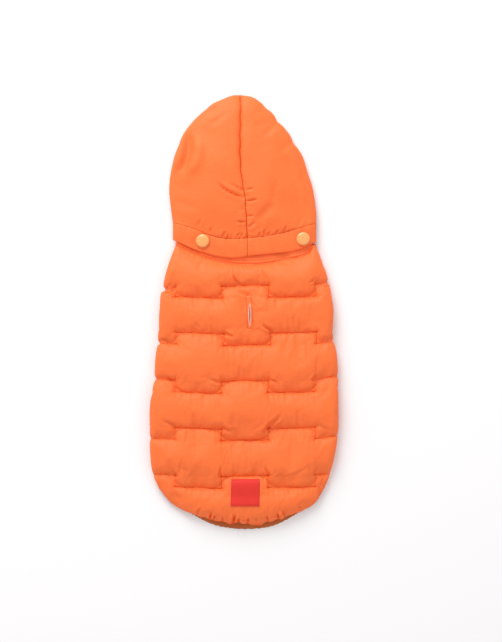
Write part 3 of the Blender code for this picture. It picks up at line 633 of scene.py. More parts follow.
@dataclass(frozen=True)
class QuiltPattern:
    """Stepped quilting seams. A column's seams lie half a step high or low in turn.

    Between two jogs a seam runs level. The cells are grid rows and columns between seams and jogs,
    the reaches are distances over which cloth rises from a line, and the depths are shares of the
    filling."""

    count: int = 5
    first_y: float = 0.0215
    pitch: float = 0.05
    step: float = 0.0125
    first_jog: float = -0.0725
    jog_pitch: float = 0.049
    jog_count: int = 4
    step_cells: int = 10
    channel_cells: int = 26
    column_cells: int = 54
    column_closeness: float = 0.6
    jog_ease: float = 0.0045
    run_reach: float = 0.0016
    jog_reach: float = 0.005
    jog_depth: float = 0.15
    jog_line_reach: float = 0.0008
    jog_line_depth: float = 0.45
    fill_power: float = 0.4
    least_channel: float = 0.0001

    @property
    def jogs(self) -> Array:
        """X of each jog."""
        return self.first_jog + self.jog_pitch * np.arange(self.jog_count)

    @property
    def middles(self) -> Array:
        """Middle height of each seam."""
        return self.first_y - self.pitch * np.arange(self.count)

    @property
    def rows(self) -> Array:
        """Y of the grid rows from the first seam's top to the last seam's foot, close together at
        every run."""
        step = closed_up(self.step_cells)[1:] * self.step
        channel = self.step + closed_up(self.channel_cells)[1:] * (self.pitch - self.step)
        bay = np.concatenate([step, channel])
        down = [seam * self.pitch + bay for seam in range(self.count - 1)]
        down = np.concatenate([[0], *down, (self.count - 1) * self.pitch + step])
        return self.top_y - down

    @property
    def columns(self) -> Array:
        """X of the grid columns from the first jog to the last, close together at every jog. Four
        of them lie on the sides of the leash slit and of the sewn line round it."""
        share = closed_up(self.column_cells, self.column_closeness)[1:]
        across = [jog + self.jog_pitch * share for jog in self.jogs[:-1]]
        columns = np.concatenate([self.jogs[:1], *across])
        for width in (-SLIT_HOLE[0], SLIT_HOLE[0], -SLIT_BOX[0], SLIT_BOX[0]):
            edge = SLIT_CENTRE.x + width / 2
            columns[np.argmin(np.abs(columns - edge))] = edge
        return columns

    @property
    def top_y(self) -> float:
        """Highest y that a seam reaches."""
        return self.first_y + self.step / 2

    @property
    def bottom_y(self) -> float:
        """Lowest y that a seam reaches."""
        return self.first_y - (self.count - 1) * self.pitch - self.step / 2

    def side_of(self, band: int, seam: int) -> int:
        """1 where the seam lies high in the band between two jogs, and -1 where it lies low."""
        return 1 if (band + seam) % 2 == 0 else -1

    def seam_y(self, band: int, seam: int) -> float:
        """Y of a seam in the band between two jogs."""
        middle = self.first_y - seam * self.pitch
        return middle + self.side_of(band, seam) * self.step / 2

    def run_distance(self, x: Array, y: Array) -> Array:
        """Distance of points of the flat pattern to the nearest level run of a seam.

        Args:
            x, y: Place of each point.

        Returns:
            The distance.
        """
        ends = [-math.inf, *self.jogs, math.inf]
        nearest = np.full(np.broadcast(x, y).shape, math.inf)
        for seam in range(self.count):
            for band in range(self.jog_count + 1):
                past = np.maximum(np.maximum(ends[band] - x, x - ends[band + 1]), 0)
                run = np.hypot(past, y - self.seam_y(band, seam))
                nearest = np.minimum(nearest, run)
        return nearest

    def jog_distance(self, x: Array, y: Array) -> Array:
        """Distance of points of the flat pattern to the nearest jog of a seam.

        Args:
            x, y: Place of each point.

        Returns:
            The distance.
        """
        nearest = np.full(np.broadcast(x, y).shape, math.inf)
        for seam in range(self.count):
            middle = self.first_y - seam * self.pitch
            off = np.maximum(np.abs(y - middle) - self.step / 2, 0)
            for jog in self.jogs:
                nearest = np.minimum(nearest, np.hypot(x - jog, off))
        return nearest

    def distance(self, x: Array, y: Array) -> Array:
        """Distance of each point of the flat pattern to the nearest seam."""
        return np.minimum(self.run_distance(x, y), self.jog_distance(x, y))

    def soft_line(self, seam: int, x: Array) -> Array:
        """A seam with each jog eased: half a step times the product of -tanh((x - jog) / w).

        Args:
            seam: Which seam, from 0 at the neck.
            x: Places to read.

        Returns:
            Its y at each place.
        """
        middle = self.first_y - seam * self.pitch
        side = self.side_of(0, seam) * np.ones_like(x)
        for jog in self.jogs:
            side = -side * np.tanh((x - jog) / self.jog_ease)
        return middle + side * self.step / 2

    def fill(self, pattern_x: Array, x: Array, y: Array) -> Array:
        """How full the channel between two seams is, 1 at its middle and 0 on its seams.

        With f the share of the way from the eased line above to the one below, it is
        sqrt(1 - (2f - 1)^2) times (channel / pitch)^fill_power. Close to a run it falls to 0, and
        close to a jog to less than half, over a few millimetres.

        Args:
            pattern_x: X of each point in the flat pattern.
            x, y: Its place in the coat.

        Returns:
            The fill at each point.
        """
        lines = [neckline_y(x), *[self.soft_line(seam, pattern_x) for seam in range(self.count)]]
        lines.append(edge_y(HEM, x))
        fill = np.zeros(np.broadcast(x, y).shape)
        for above, below in zip(lines, lines[1:]):
            channel = np.maximum(above - below, self.least_channel)
            share = np.clip((above - y) / channel, 0, 1)
            fill += np.sqrt(1 - (2 * share - 1) ** 2) * (channel / self.pitch) ** self.fill_power
        run = 1 - np.exp(-self.run_distance(pattern_x, y) / self.run_reach)
        away = self.jog_distance(pattern_x, y)
        line = self.jog_line_depth * np.exp(-away / self.jog_line_reach)
        valley = self.jog_depth * np.exp(-away / self.jog_reach)
        return fill * run * (1 - line - valley)


@dataclass(frozen=True)
class Sheet:
    """Both faces of a cloth piece, rows by columns by xyz.

    Kept says which cells are kept where some are left out as a hole, and wrap whether the last
    column joins the first."""

    outer: Array
    inner: Array
    kept: Array | None = None
    wrap: bool = False

    def mesh(self, name: str) -> Mesh:
        """Closed wall with a UV map in metres along the cloth.

        U is the mean length of the rows' edges added up from column to column, and V that of the
        columns' edges added up from row to row.

        Args:
            name: Name of the mesh.

        Returns:
            The mesh.
        """
        across = np.linalg.norm(np.diff(self.outer, axis=1), axis=2).mean(axis=0)
        along = np.linalg.norm(np.diff(self.outer, axis=0), axis=2).mean(axis=1)
        u = np.concatenate([[0], np.cumsum(across)])
        v = np.concatenate([[0], np.cumsum(along)])
        face = np.stack(np.broadcast_arrays(u[None, :], v[:, None]), axis=-1).reshape(-1, 2)
        return wall_mesh(name, self.outer, self.inner, self.wrap, self.kept, face)


@dataclass
class BackPanel:
    """Padded back panel, folded round both flanks and turned under them.

    Attributes:
        puff: How far the filling rises above the seams.
        flank_share: Height of the flank folds as a share of the middle's.
        notch_depth: How far a seam draws the flank in.
        layer_gap: Gap between the turned-under strips and the back above them.
        spare_cloth: How much larger the cloth is cut than the form it starts from.
        pressure: Pressure of the filling while the simulation runs for its frames.
        most_moved: Farthest that the simulation may move a point.
    """

    pattern: QuiltPattern = field(default_factory=QuiltPattern)
    neck_height: float = 0.008
    seam_height: float = 0.0118
    hem_height: float = 0.0044
    puff: float = 0.0072
    flank_share: float = 0.8
    notch_depth: float = 0.0034
    strip_thickness: float = 0.0046
    hem_strip_thickness: float = 0.0022
    layer_gap: float = 0.0006
    head_rows: int = 20
    tail_rows: int = 24
    flank_columns: int = 6
    fold_columns: int = 14
    strip_columns: int = 10
    spare_cloth: float = 0.018
    pressure: float = 5.0
    frames: int = 20
    most_moved: float = 0.004

    @property
    def row_count(self) -> int:
        """Grid rows in all."""
        return self.head_rows + len(self.pattern.rows) + self.tail_rows

    def row_y(self, x: Array, outer_share: Array, hem_y: Array) -> Array:
        """Y of every grid row at each x.

        Between the seams' top and foot the rows are the pattern's own, so that every seam and jog lies
        on grid lines. From there they share out the way to the neckline and to the hem, and beyond the
        outermost jogs the whole way from the last seam to the hem.

        Args:
            x: X of each point, rows by columns.
            outer_share: 1 in the columns beyond the outermost jogs and 0 between them.
            hem_y: Y of the last row in each column.

        Returns:
            Y of each point, rows by columns.
        """
        pattern = self.pattern
        rows = np.broadcast_to(pattern.rows[:, None], (len(pattern.rows), x.shape[1]))
        head = slice(0, self.head_rows)
        foot = slice(self.head_rows + len(rows), None)
        neck = neckline_y(x[head])
        head_share = closed_up(self.head_rows)[:-1, None]
        tail_share = closed_up(self.tail_rows)[1:, None]
        top = neck + (pattern.top_y - neck) * head_share
        tail = pattern.bottom_y + (hem_y[foot] - pattern.bottom_y) * tail_share
        y = np.concatenate([top, rows, tail])
        last = self.head_rows + len(rows) - 1 - pattern.step_cells
        last_y = pattern.bottom_y + pattern.step
        share = closed_up(self.row_count - 1 - last)[:, None]
        spread = last_y + (hem_y[last:] - last_y) * share
        y[last:] = y[last:] * (1 - outer_share[last:]) + spread * outer_share[last:]
        return y

    def level(self, x: Array, y: Array) -> Array:
        """Height of the seams' level, which falls to the neck edge and to the hem.

        Args:
            x, y: Place of each point.

        Returns:
            The height.
        """
        neck = ramp(y, self.pattern.top_y, NECK_FALL_END)
        above_hem = y - edge_y(HEM, x)
        hem = 1 - np.clip(above_hem / HEM_FALL, 0, 1) ** HEM_FALL_CURVE
        height = self.seam_height + (self.neck_height - self.seam_height) * neck
        return height + (self.hem_height - height) * hem

    def top_x(self, flats: tuple[Array, Array]) -> tuple[Array, Array]:
        """X of the back's top columns in every row, and their x in the flat pattern.

        Between the outermost jogs the columns are the pattern's own, drawn in together where the flank
        folds are nearer. From there to each fold they share out what is left.

        Args:
            flats: Distance from the middle of the left and of the right fold's start in each row.

        Returns:
            X in the coat and x in the pattern, both rows by columns.
        """
        jogs = self.pattern.jogs
        inner = self.pattern.columns
        reach = JOG_ROOM + max(abs(jogs[0]), jogs[-1])
        scales = [1 - np.maximum(reach - flat, 0) / reach for flat in flats]
        scale = np.where(inner < 0, scales[0][:, None], scales[1][:, None])
        x = inner * scale
        share = np.arange(1, self.flank_columns + 1) / self.flank_columns
        left = x[:, :1] + (-flats[0][:, None] - x[:, :1]) * share
        right = x[:, -1:] + (flats[1][:, None] - x[:, -1:]) * share
        pattern_left = jogs[0] + (left - x[:, :1])
        pattern_right = jogs[-1] + (right - x[:, -1:])
        pattern_x = np.broadcast_to(inner, x.shape)
        return (
            np.concatenate([left[:, ::-1], x, right], axis=1),
            np.concatenate([pattern_left[:, ::-1], pattern_x, pattern_right], axis=1),
        )

    def tail_drop(self, x: Array, y: Array) -> Array:
        """1 where the back lies on the ground past the belly, 0 on the belly and on the hem.

        Args:
            x, y: Place of each point.

        Returns:
            The share.
        """
        past_belly = ramp(-y, *DROP_PAST_BELLY)
        between_strips = ramp(-np.abs(x), *DROP_INSIDE_STRIPS)
        off_hem = ramp(y - edge_y(HEM, x), *DROP_OFF_CASING)
        return past_belly * between_strips * off_hem

    def flank(self, side: int) -> dict[str, Array]:
        """Sizes of one flank fold in every row, from the height and fill of the edge column.

        Args:
            side: -1 for the left flank and 1 for the right.

        Returns:
            Arrays over the rows: y, height, radius, flat, strip and under.
        """
        pattern = self.pattern
        x = np.full((self.row_count, 1), side * (abs(pattern.jogs[-1]) + JOG_ROOM))
        y = self.row_y(x, np.ones_like(x), np.full_like(x, STRIP_END_Y))[:, 0]
        x = x[:, 0]
        fill = self.pattern.fill(2 * x, x, y)
        seam = self.pattern.distance(2 * x, y)
        strip_share = ramp(-y, *STRIP_THINS)
        strip = self.strip_thickness + (self.hem_strip_thickness - self.strip_thickness) * strip_share
        under = strip + self.layer_gap
        height = under + (self.level(x, y) + self.puff * fill - under) * self.flank_share
        shares = [share.left if side < 0 else share.right for share in NOTCH_SHARES]
        drawn = np.interp(-y, -self.pattern.middles, shares)
        notch = self.notch_depth * drawn * hill(seam, NOTCH_REACH)
        radius = FOLD_SHARE * height
        flat = side_fold(side, y) - notch - radius
        return {"y": y, "height": height, "radius": radius, "flat": flat, "strip": strip, "under": under}

    def form(self, x: Array, pattern_x: Array, y: Array, flats: tuple[Array, Array]) -> Array:
        """Height of the back's top before the filling swells it.

        From the layer below it rises to the seams' level and the filling's puff, times a crown that
        falls away to the flanks with the cube of the way out. Creases, the dent round the leash slit,
        the rolled hem and the rest on the ground behind the belly are taken off.

        Args:
            x, pattern_x, y: X in the coat and in the pattern, and y, rows by columns.
            flats: As for top_x.

        Returns:
            The height.
        """
        under = self.strip_thickness + self.layer_gap
        flat = np.where(x < 0, flats[0][:, None], flats[1][:, None])
        crown = 1 - (1 - self.flank_share) * np.clip(np.abs(x) / flat, 0, 1) ** 3
        puff = self.puff * self.pattern.fill(pattern_x, x, y)
        z = under + (self.level(x, y) + puff - under) * crown
        z = z - self.tail_drop(x, y) * TAIL_DROP
        z = z - SLIT_DENT * hill(slit_distance(x, y), SLIT_DENT_REACH)
        z = z - SLIT_GROOVE * hill(slit_line_distance(x, y), SLIT_GROOVE_WIDTH)
        z = z - HEM_ROLL * hill(np.maximum(y - edge_y(HEM, x), 0), HEM_ROLL_REACH)
        away = self.pattern.run_distance(pattern_x, y)
        off_seam = np.exp(-away / PUCKER_REACH) * np.tanh(away / PUCKER_START)
        calm = ramp(label_distance(x, y), 0.0, LABEL_CALM)
        z = z + PUCKER_HEIGHT * PUCKERS.at(x, y) * off_seam * calm
        return z + creased(BACK_CREASES, x, y) * calm

    def sheet(self) -> Sheet:
        """Both faces of the back before the filling swells it, with the leash slit's hole."""
        left, right = self.flank(-1), self.flank(1)
        flats = (left["flat"], right["flat"])
        x, pattern_x = self.top_x(flats)
        beyond = ramp(np.abs(pattern_x), abs(self.pattern.jogs[-1]), SPREAD_TO)
        scallop = HEM_SCALLOP_DEPTH * HEM_SCALLOPS.at(x, 0 * x) * ramp(-np.abs(x), *HEM_SCALLOPED)
        lobes = sum(lobe.shift * hill(x - lobe.place, HEM_LOBE_REACH) for lobe in HEM_LOBES)
        y = self.row_y(x, beyond, edge_y(HEM, x) + scallop + lobes)
        outer = [stacked(x, y, self.form(x, pattern_x, y, flats))]
        drop = self.tail_drop(x, y)
        under = np.maximum(left["under"], right["under"])[:, None]
        inner = [stacked(x, y, under - (under - SEAM_GAP) * drop)]
        for side, sizes in ((-1, left), (1, right)):
            columns = self.flank_points(side, sizes, outer[0][:, 0 if side < 0 else -1, 2])
            order = slice(None, None, side)
            outer.insert(0 if side < 0 else 2, columns[0][:, order])
            inner.insert(0 if side < 0 else 2, columns[1][:, order])
        outer, inner = np.concatenate(outer, axis=1), np.concatenate(inner, axis=1)
        middle = (outer[:-1, :-1] + outer[1:, 1:]) / 2
        open_x = np.abs(middle[..., 0] - SLIT_CENTRE.x) < SLIT_HOLE[0] / 2
        open_y = np.abs(middle[..., 1] - SLIT_HOLE_Y) < SLIT_HOLE[1] / 2
        return Sheet(outer, inner, ~(open_x & open_y))

    def flank_points(self, side: int, sizes: dict[str, Array], top_z: Array) -> tuple[Array, Array]:
        """Outer and inner points round a flank fold and in to the side seam, from the top down.

        The fold is a half ellipse as high as the back's edge, and the strip below it lies on the
        ground, a little raised at the quilting seams.

        Args:
            side: -1 for the left flank and 1 for the right.
            sizes: The fold's sizes in every row.
            top_z: Height of the back's top where the fold starts.

        Returns:
            The outer and the inner points, rows by columns by xyz.
        """
        turn = np.linspace(math.pi / 2, -math.pi / 2, self.fold_columns + 1)[None, 1:]
        height, radius, flat, strip, under, y = (
            sizes[key][:, None] for key in ("height", "radius", "flat", "strip", "under", "y")
        )
        upper = np.where(turn > 0, top_z[:, None] - height / 2, height / 2)
        fold_x = side * (flat + radius * np.cos(turn))
        fold_z = height / 2 + upper * np.sin(turn)
        hollow = HOLLOW_SHARE * radius
        inner_x = side * (flat + hollow * np.cos(turn))
        inner_z = (strip + under) / 2 + (under - strip) / 2 * np.sin(turn)
        share = np.arange(1, self.strip_columns + 1)[None, :] / self.strip_columns
        edge = STRIP_EDGE_AT_CENTRE - STRIP_TAPER * y
        strip_x = side * (flat + (edge - flat) * share)
        seam = self.pattern.distance(np.full_like(strip_x, side), y)
        strip_z = UNDERSIDE_SEAM_DEPTH * hill(seam, UNDERSIDE_SEAM_WIDTH)
        strip_z = strip_z * ramp(share, 0.0, UNDERSIDE_SEAM_FADE)
        lower = ramp(-turn, 0.0, math.pi / 2)
        hem_y = edge_y(HEM, fold_x) * (1 - lower) + STRIP_END_Y * lower
        fold_y = self.row_y(fold_x, np.ones_like(fold_x), hem_y)
        inner_y = self.row_y(inner_x, np.ones_like(fold_x), np.full_like(fold_x, STRIP_END_Y))
        strip_y = self.row_y(strip_x, np.ones_like(strip_x), np.full_like(strip_x, STRIP_END_Y))
        outer = [stacked(fold_x, fold_y, fold_z), stacked(strip_x, strip_y, strip_z)]
        inner = [stacked(inner_x, inner_y, inner_z), stacked(strip_x, strip_y, strip)]
        return np.concatenate(outer, axis=1), np.concatenate(inner, axis=1)

    def held(self, sheet: Sheet) -> Array:
        """How firmly each point of the outer face is held: 1 on seams, edges and the underside.

        Args:
            sheet: Both faces of the back.

        Returns:
            The hold, rows by columns.
        """
        x, y = sheet.outer[..., 0], sheet.outer[..., 1]
        left, right = self.flank(-1), self.flank(1)
        _, pattern_x = self.top_x((left["flat"], right["flat"]))
        sides = self.fold_columns + self.strip_columns
        far = np.full((self.row_count, sides), 1.0)
        pattern_x = np.concatenate([-far, pattern_x, far], axis=1)
        held = np.where(self.pattern.distance(pattern_x, y) < HELD_BY_SEAM, 1.0, 0.0)
        held[[0, -1]] = 1.0
        ground = round(self.fold_columns * HELD_FOLD_SHARE) + self.strip_columns
        held[:, :ground] = 1.0
        held[:, -ground:] = 1.0
        held = np.maximum(held, np.where(slit_distance(x, y) < HELD_BY_SLIT, 1.0, 0.0))
        return np.maximum(held, np.where(label_distance(x, y) < HELD_BY_LABEL, 1.0, 0.0))

    def swollen(self, sheet: Sheet) -> Sheet:
        """The back after its filling has swelled it between the held seams.

        Blender's cloth is run on the outer face with the filling's pressure, no gravity and a little
        more cloth than the form needs. How far a point moves is then capped, and none goes below the
        ground.

        Args:
            sheet: Both faces before the filling swells them.

        Returns:
            The sheet with its outer face swollen.
        """
        rows, columns = sheet.outer.shape[:2]
        start = sheet.outer.reshape(-1, 3)
        mesh = bpy.data.meshes.new("swelling")
        mesh.from_pydata(start, [], grid_faces(rows, columns)[:, ::-1])
        cloth = bpy.data.objects.new("swelling", mesh)
        bpy.context.scene.collection.objects.link(cloth)
        group = cloth.vertex_groups.new(name="held")
        weights = self.held(sheet).ravel()
        group.add(np.nonzero(weights > 0.5)[0].tolist(), 1.0, "REPLACE")
        modifier = cloth.modifiers.new("Cloth", "CLOTH")
        settings = modifier.settings
        for setting, value in CLOTH.items():
            setattr(settings, setting, value)
        settings.shrink_min = -self.spare_cloth
        settings.uniform_pressure_force = self.pressure
        settings.effector_weights.gravity = 0
        modifier.collision_settings.use_collision = False
        modifier.point_cache.frame_start = 1
        modifier.point_cache.frame_end = self.frames
        scene = bpy.context.scene
        for number in range(1, self.frames + 1):
            scene.frame_set(number)
        evaluated = cloth.evaluated_get(bpy.context.evaluated_depsgraph_get())
        moved = np.empty(rows * columns * 3, np.float32)
        evaluated.data.vertices.foreach_get("co", moved)
        moved = moved.reshape(-1, 3).astype(float) - start
        scene.frame_set(1)
        bpy.data.objects.remove(cloth)
        bpy.data.meshes.remove(mesh)
        away = np.linalg.norm(moved, axis=1, keepdims=True)
        above_hem = start[:, 1:2] - edge_y(HEM, start[:, :1])
        free = HEM_MOVE_SHARE + (1 - HEM_MOVE_SHARE) * ramp(above_hem, 0, HEM_STIFF)
        log.info("the filling moved the back by %.2f mm at most", away.max() / MM)
        moved *= np.minimum(1, self.most_moved * free / np.maximum(away, 1e-9))
        points = start + moved
        points[:, 2] = np.maximum(points[:, 2], 0)
        return Sheet(points.reshape(rows, columns, 3), sheet.inner, sheet.kept)

    def surface(self, sheet: Sheet) -> Surface:
        """The upper side of the finished back."""
        side = self.fold_columns + self.strip_columns
        return Surface(sheet.outer[:, side:-side].reshape(-1, 3))

    def build(self, cloth: Material) -> tuple[Piece, Sheet]:
        """Makes the back as a padded piece.

        Args:
            cloth: Its material.

        Returns:
            The piece, and its sheet for what is sewn on it.
        """
        sheet = self.sheet()
        sheet = self.swollen(sheet)
        sheet = Sheet(laid(sheet.outer), laid(sheet.inner), sheet.kept)
        piece = add_piece(sheet.mesh("quilted_back"), ("back_panel",), cloth)
        return piece, sheet


# ---- what lies on the back


@dataclass(frozen=True)
class Surface:
    """Upper side of cloth, read as heights smoothed over a reach."""

    points: Array
    reach: float = 0.0016

    def height(self, x: Array, y: Array) -> Array:
        """Mean height of the points round each place, weighted by exp(-(distance / reach)^2).

        Args:
            x, y: The places.

        Returns:
            The height at each.
        """
        shape = np.broadcast(x, y).shape
        x, y = (np.broadcast_to(part, shape).ravel() for part in (x, y))
        margin = 4 * self.reach
        near = np.abs(self.points[:, 0] - x.mean()) < np.ptp(x) / 2 + margin
        near &= np.abs(self.points[:, 1] - y.mean()) < np.ptp(y) / 2 + margin
        near_x, near_y, near_z = self.points[near].T
        away = np.hypot(x[:, None] - near_x, y[:, None] - near_y)
        away -= away.min(axis=1, keepdims=True)
        weight = hill(away, self.reach)
        return ((weight * near_z).sum(axis=1) / weight.sum(axis=1)).reshape(shape)


@dataclass
class Label:
    """Plain sewn patch on the tail, with a soft edge as wide as its rounding."""

    thickness: float = 0.0009
    cells: int = 44
    rounding: float = 0.0008
    sewn_in: float = 0.0013
    sewn_width: float = 0.0004
    sewn_share: float = 0.35
    edge_share: float = 0.45
    thread_share: float = 0.62
    sewn_steps: int = 96

    def place(self) -> tuple[Array, Array]:
        """X and y of the patch's grid."""
        share = closed_up(self.cells, 0.5) - 0.5
        x = LABEL_CENTRE.x + LABEL_SIZE[0] * share[None, :]
        y = LABEL_CENTRE.y - LABEL_SIZE[1] * share[:, None]
        return np.broadcast_arrays(x + LABEL_SKEW * (y - LABEL_CENTRE.y), y)

    def build(self, surface: Surface, satin: Material) -> Piece:
        """Makes the patch, sunk a little along its sewn line.

        Args:
            surface: The back that it lies on.
            satin: Its material.

        Returns:
            The piece.
        """
        x, y = self.place()
        foot = surface.height(x, y) + SEAM_GAP
        edge = LABEL_SIZE[0] / 2 - np.abs(x - LABEL_CENTRE.x - LABEL_SKEW * (y - LABEL_CENTRE.y))
        edge = np.minimum(edge, LABEL_SIZE[1] / 2 - np.abs(y - LABEL_CENTRE.y))
        round_off = self.edge_share * self.thickness * (1 - ramp(edge, 0.0, self.rounding))
        sewn = self.sewn_share * self.thickness * hill(edge - self.sewn_in, self.sewn_width)
        top = foot + self.thickness - round_off - sewn
        mesh = Sheet(stacked(x, y, top), stacked(x, y, foot)).mesh("tail_patch")
        piece = add_piece(mesh, ("label",), satin)
        return piece

    def sewn_line(self, surface: Surface) -> Array:
        """Points once round the patch along its sewn line, from the back's surface."""
        width, length = (size - 2 * self.sewn_in for size in LABEL_SIZE)
        x, y = box_path(LABEL_CENTRE, (width, length), self.sewn_steps)
        lift = SEAM_GAP + self.thread_share * self.thickness
        return stacked(x + LABEL_SKEW * (y - LABEL_CENTRE.y), y, surface.height(x, y) + lift)


@dataclass
class LeashSlit:
    """Pale bound lips of the leash slit, a narrow ring that stands in the opening.

    Half width and length are over the middle of its section, whose own half width is the lip. The
    section is rows of the share of the way up and the lip's share there."""

    half_width: float = 0.00095
    half_length: float = 0.0116
    lip: float = 0.0005
    rise: float = 0.0005
    drop: float = 0.006
    roundness: float = 0.8
    end_share: float = 0.35
    steps: int = 96
    sewn_steps: int = 160

    def build(self, surface: Surface, tape: Material) -> Piece:
        """Makes the ring: a pointed oval, each face of which runs from its foot to its top.

        Args:
            surface: The back that it stands in.
            tape: Its material.

        Returns:
            The piece.
        """
        turn = np.linspace(0, 2 * math.pi, self.steps, endpoint=False)[None, :]
        across = np.sign(np.cos(turn)) * np.abs(np.cos(turn)) ** self.roundness
        along = np.sin(turn)
        oval = np.sqrt(1 - np.minimum(along**2, 1))
        around = (self.end_share + (1 - self.end_share) * oval) * np.ones_like(turn)
        rows, swell = np.array(SLIT_SECTION).T[..., None]
        centre = laid(stacked(SLIT_CENTRE.x, SLIT_HOLE_Y, 0.0)[None, :])[0]
        faces = []
        for face in (1, -1):
            wide = self.half_width * around + face * self.lip * swell
            long = self.half_length + face * self.lip * swell
            x = centre[0] + wide * across
            y = centre[1] + long * along
            top = surface.height(x[-1:], y[-1:]) + self.rise
            faces.append(stacked(x, y, top - self.drop * (1 - rows)))
        mesh = Sheet(faces[0], faces[1], wrap=True).mesh("slit_lips")
        piece = add_piece(mesh, ("leash_slit_binding",), tape)
        return piece

    def sewn_line(self, surface: Surface) -> Array:
        """Points once round the stitched box about the slit."""
        points = laid(stacked(*box_path(SLIT_CENTRE, SLIT_BOX, self.sewn_steps), 0.0))
        points[:, 2] = surface.height(points[:, 0], points[:, 1]) + THREAD_LIFT
        return points


# ---- hood, band and collar


class Side(Enum):
    """A side of the coat seen from above, with the sign of its x."""

    LEFT = -1
    RIGHT = 1

    @property
    def label(self) -> str:
        """Its name in lower case, as the frame's nodes end."""
        return self.name.lower()


@dataclass(frozen=True)
class HoodSection:
    """A section of the hood, from the crown seam out to the folds where the cloth turns under.

    Attributes:
        crest: Height beside the seam, and valley how far the seam sinks.
        fold_height: Height where the fold begins.
        turned_under: Width of cloth turned under the fold.
        band_share: How far the section follows the band's seam, from 0 to 1.
    """

    seam_x: float
    seam_y: float
    left_x: float
    left_y: float
    right_x: float
    right_y: float
    crest: float
    valley: float
    fold_height: float
    turned_under: float
    band_share: float


HOOD_SECTIONS = tuple(
    HoodSection(*row)
    for row in (
        (0.003, 0.0783, -0.0755, 0.0945, 0.0755, 0.093, 0.013, 0.0006, 0.0122, 0.007, 1.00),
        (0.002, 0.098, -0.0775, 0.109, 0.0752, 0.107, 0.0178, 0.002, 0.011, 0.014, 0.4),
        (0.0006, 0.12, -0.0793, 0.132, 0.0715, 0.131, 0.0205, 0.0024, 0.01, 0.02, 0.05),
        (-0.003, 0.142, -0.0755, 0.158, 0.0655, 0.151, 0.0212, 0.0026, 0.0098, 0.022, 0.00),
        (-0.0044, 0.163, -0.0665, 0.184, 0.0575, 0.17, 0.0202, 0.0026, 0.0096, 0.022, 0.00),
        (-0.0045, 0.182, -0.052, 0.2035, 0.045, 0.19, 0.0182, 0.0024, 0.0094, 0.022, 0.00),
        (-0.0044, 0.195, -0.0335, 0.2185, 0.0295, 0.2095, 0.016, 0.002, 0.0094, 0.021, 0.00),
        (-0.0042, 0.202, -0.015, 0.2276, 0.011, 0.2252, 0.0148, 0.0018, 0.0092, 0.02, 0.00),
        (-0.0041, 0.204, -0.0041, 0.2288, -0.0041, 0.2288, 0.0142, 0.0016, 0.009, 0.019, 0.00),
    )
)
BAND_TOP = in_mm(
    EdgePoint,
    (-76, 94.5), (-64, 91.2), (-50, 86.8), (-38, 81.5),
    (-28, 78.7), (3, 78), (26, 80.5), (51, 86.2),
    (70, 92), (77, 93.5),
)
BAND_BOTTOM = in_mm(
    EdgePoint,
    (-76, 76.5), (-64, 70.8), (-50, 64.8), (-37, 60.8),
    (-8, 57.2), (3, 58.8), (31, 61.6), (55, 65),
    (77, 74.8),
)
BAND_HEIGHT = 0.0128
BAND_JOIN_X = 0.003
HOOD_WALL = 0.0024
FOLD_START = math.radians(65)
BAND_END_ANGLE = math.radians(-35)
SNAP_CENTRES = {Side.LEFT: EdgePoint(-0.044, 0.0749), Side.RIGHT: EdgePoint(0.0616, 0.0771)}
SNAP_RADIUS = 0.0071
LEFT_SNAP_TILT = 0.07


@dataclass(frozen=True)
class Nudge:
    """A push of an outline outwards at one y, over a reach on either side of it."""

    y: float
    push: float
    reach: float


HOOD_NUDGES = {
    Side.LEFT: in_mm(Nudge, (219, 1, 4), (176, -0.8, 6)),
    Side.RIGHT: in_mm(
        Nudge,
        (215.5, -1, 3), (201.5, -2.2, 3.8), (188, 0.5, 4), (178, -1.5, 3.6), (164, 0.8, 6), (145, -0.6, 5),
    ),
}
HOOD_CREASES = (
    *in_mm(
        Crease,
        (-28.5, 135, -0.5, 120, 2.6, 1.5, -2.2), (-15, 134.5, -1.2, 127.5, 1.4, 1.2),
        (1.5, 128.3, 9.5, 129.2, 1.4, 1.2), (1.8, 116.5, 13.5, 118, 2, 1.2),
        (2.2, 100.5, 9.5, 101.2, 1.6, 1.2), (-7.8, 95, 1.8, 94.3, 2, 1.2),
        (-8, 108.5, 0.8, 107, 0.6, 1.2), (4, 88, 12, 95, 1.3, 1.6),
        (13, 96, 30, 113, 1.5, 4.6), (-48, 201, -25, 214, 0.9, 4, 3),
        (-36, 196, -17, 210, 0.6, 3), (48, 166, 58, 140, -1.3, 3.6, 1.5),
        (59, 137, 64, 116, -1, 3), (33, 138, 30, 115, 0.8, 3),
        (36, 200, 22, 186, 0.9, 3), (50, 178, 38, 169, 0.7, 3),
        (-75, 118, -48, 108, 0.6, 4), (-49, 90.5, -46.5, 97, 1.2, 1.2),
        (-36.5, 83.5, -34.5, 89.5, 1.4, 1.2), (-22.5, 79, -19.5, 85, 2.2, 1.4),
        (-18, 78.5, -17.2, 83.5, 1.8, 1), (-8.2, 78, -6.2, 82.5, 1.8, 1),
        (-3, 78, -2, 83.5, 1.8, 1.1), (15.2, 78.5, 17.2, 84.5, 1.8, 1.2),
        (19.8, 79, 20.8, 86.5, 2.4, 1.4), (24.5, 79.5, 26.8, 84.5, 1.8, 1.2),
        (33, 81, 35.2, 86, 1.8, 1.4), (42, 85, 44, 90, 1.2, 1.3),
        (56, 90, 62, 101, 0.4, 2),
    ),
    Crease(-0.059, 0.187, -0.067, 0.146, 0.004, 0.0052, 0.0036, 0.5),
    Crease(-0.0495, 0.18, -0.057, 0.147, -0.0017, 0.0062, 0.0036, 0),
)
HOOD_RUMPLES = Ripple(0.034, seed=21)
HOOD_RUMPLE_HEIGHT = 0.00055
GATHERS = Ripple(0.0046, seed=8, waves=10, stretch=5.0)
GATHER_PLACES = (-0.019, -0.0045, 0.0205)
GATHER_SPREAD = 0.0062
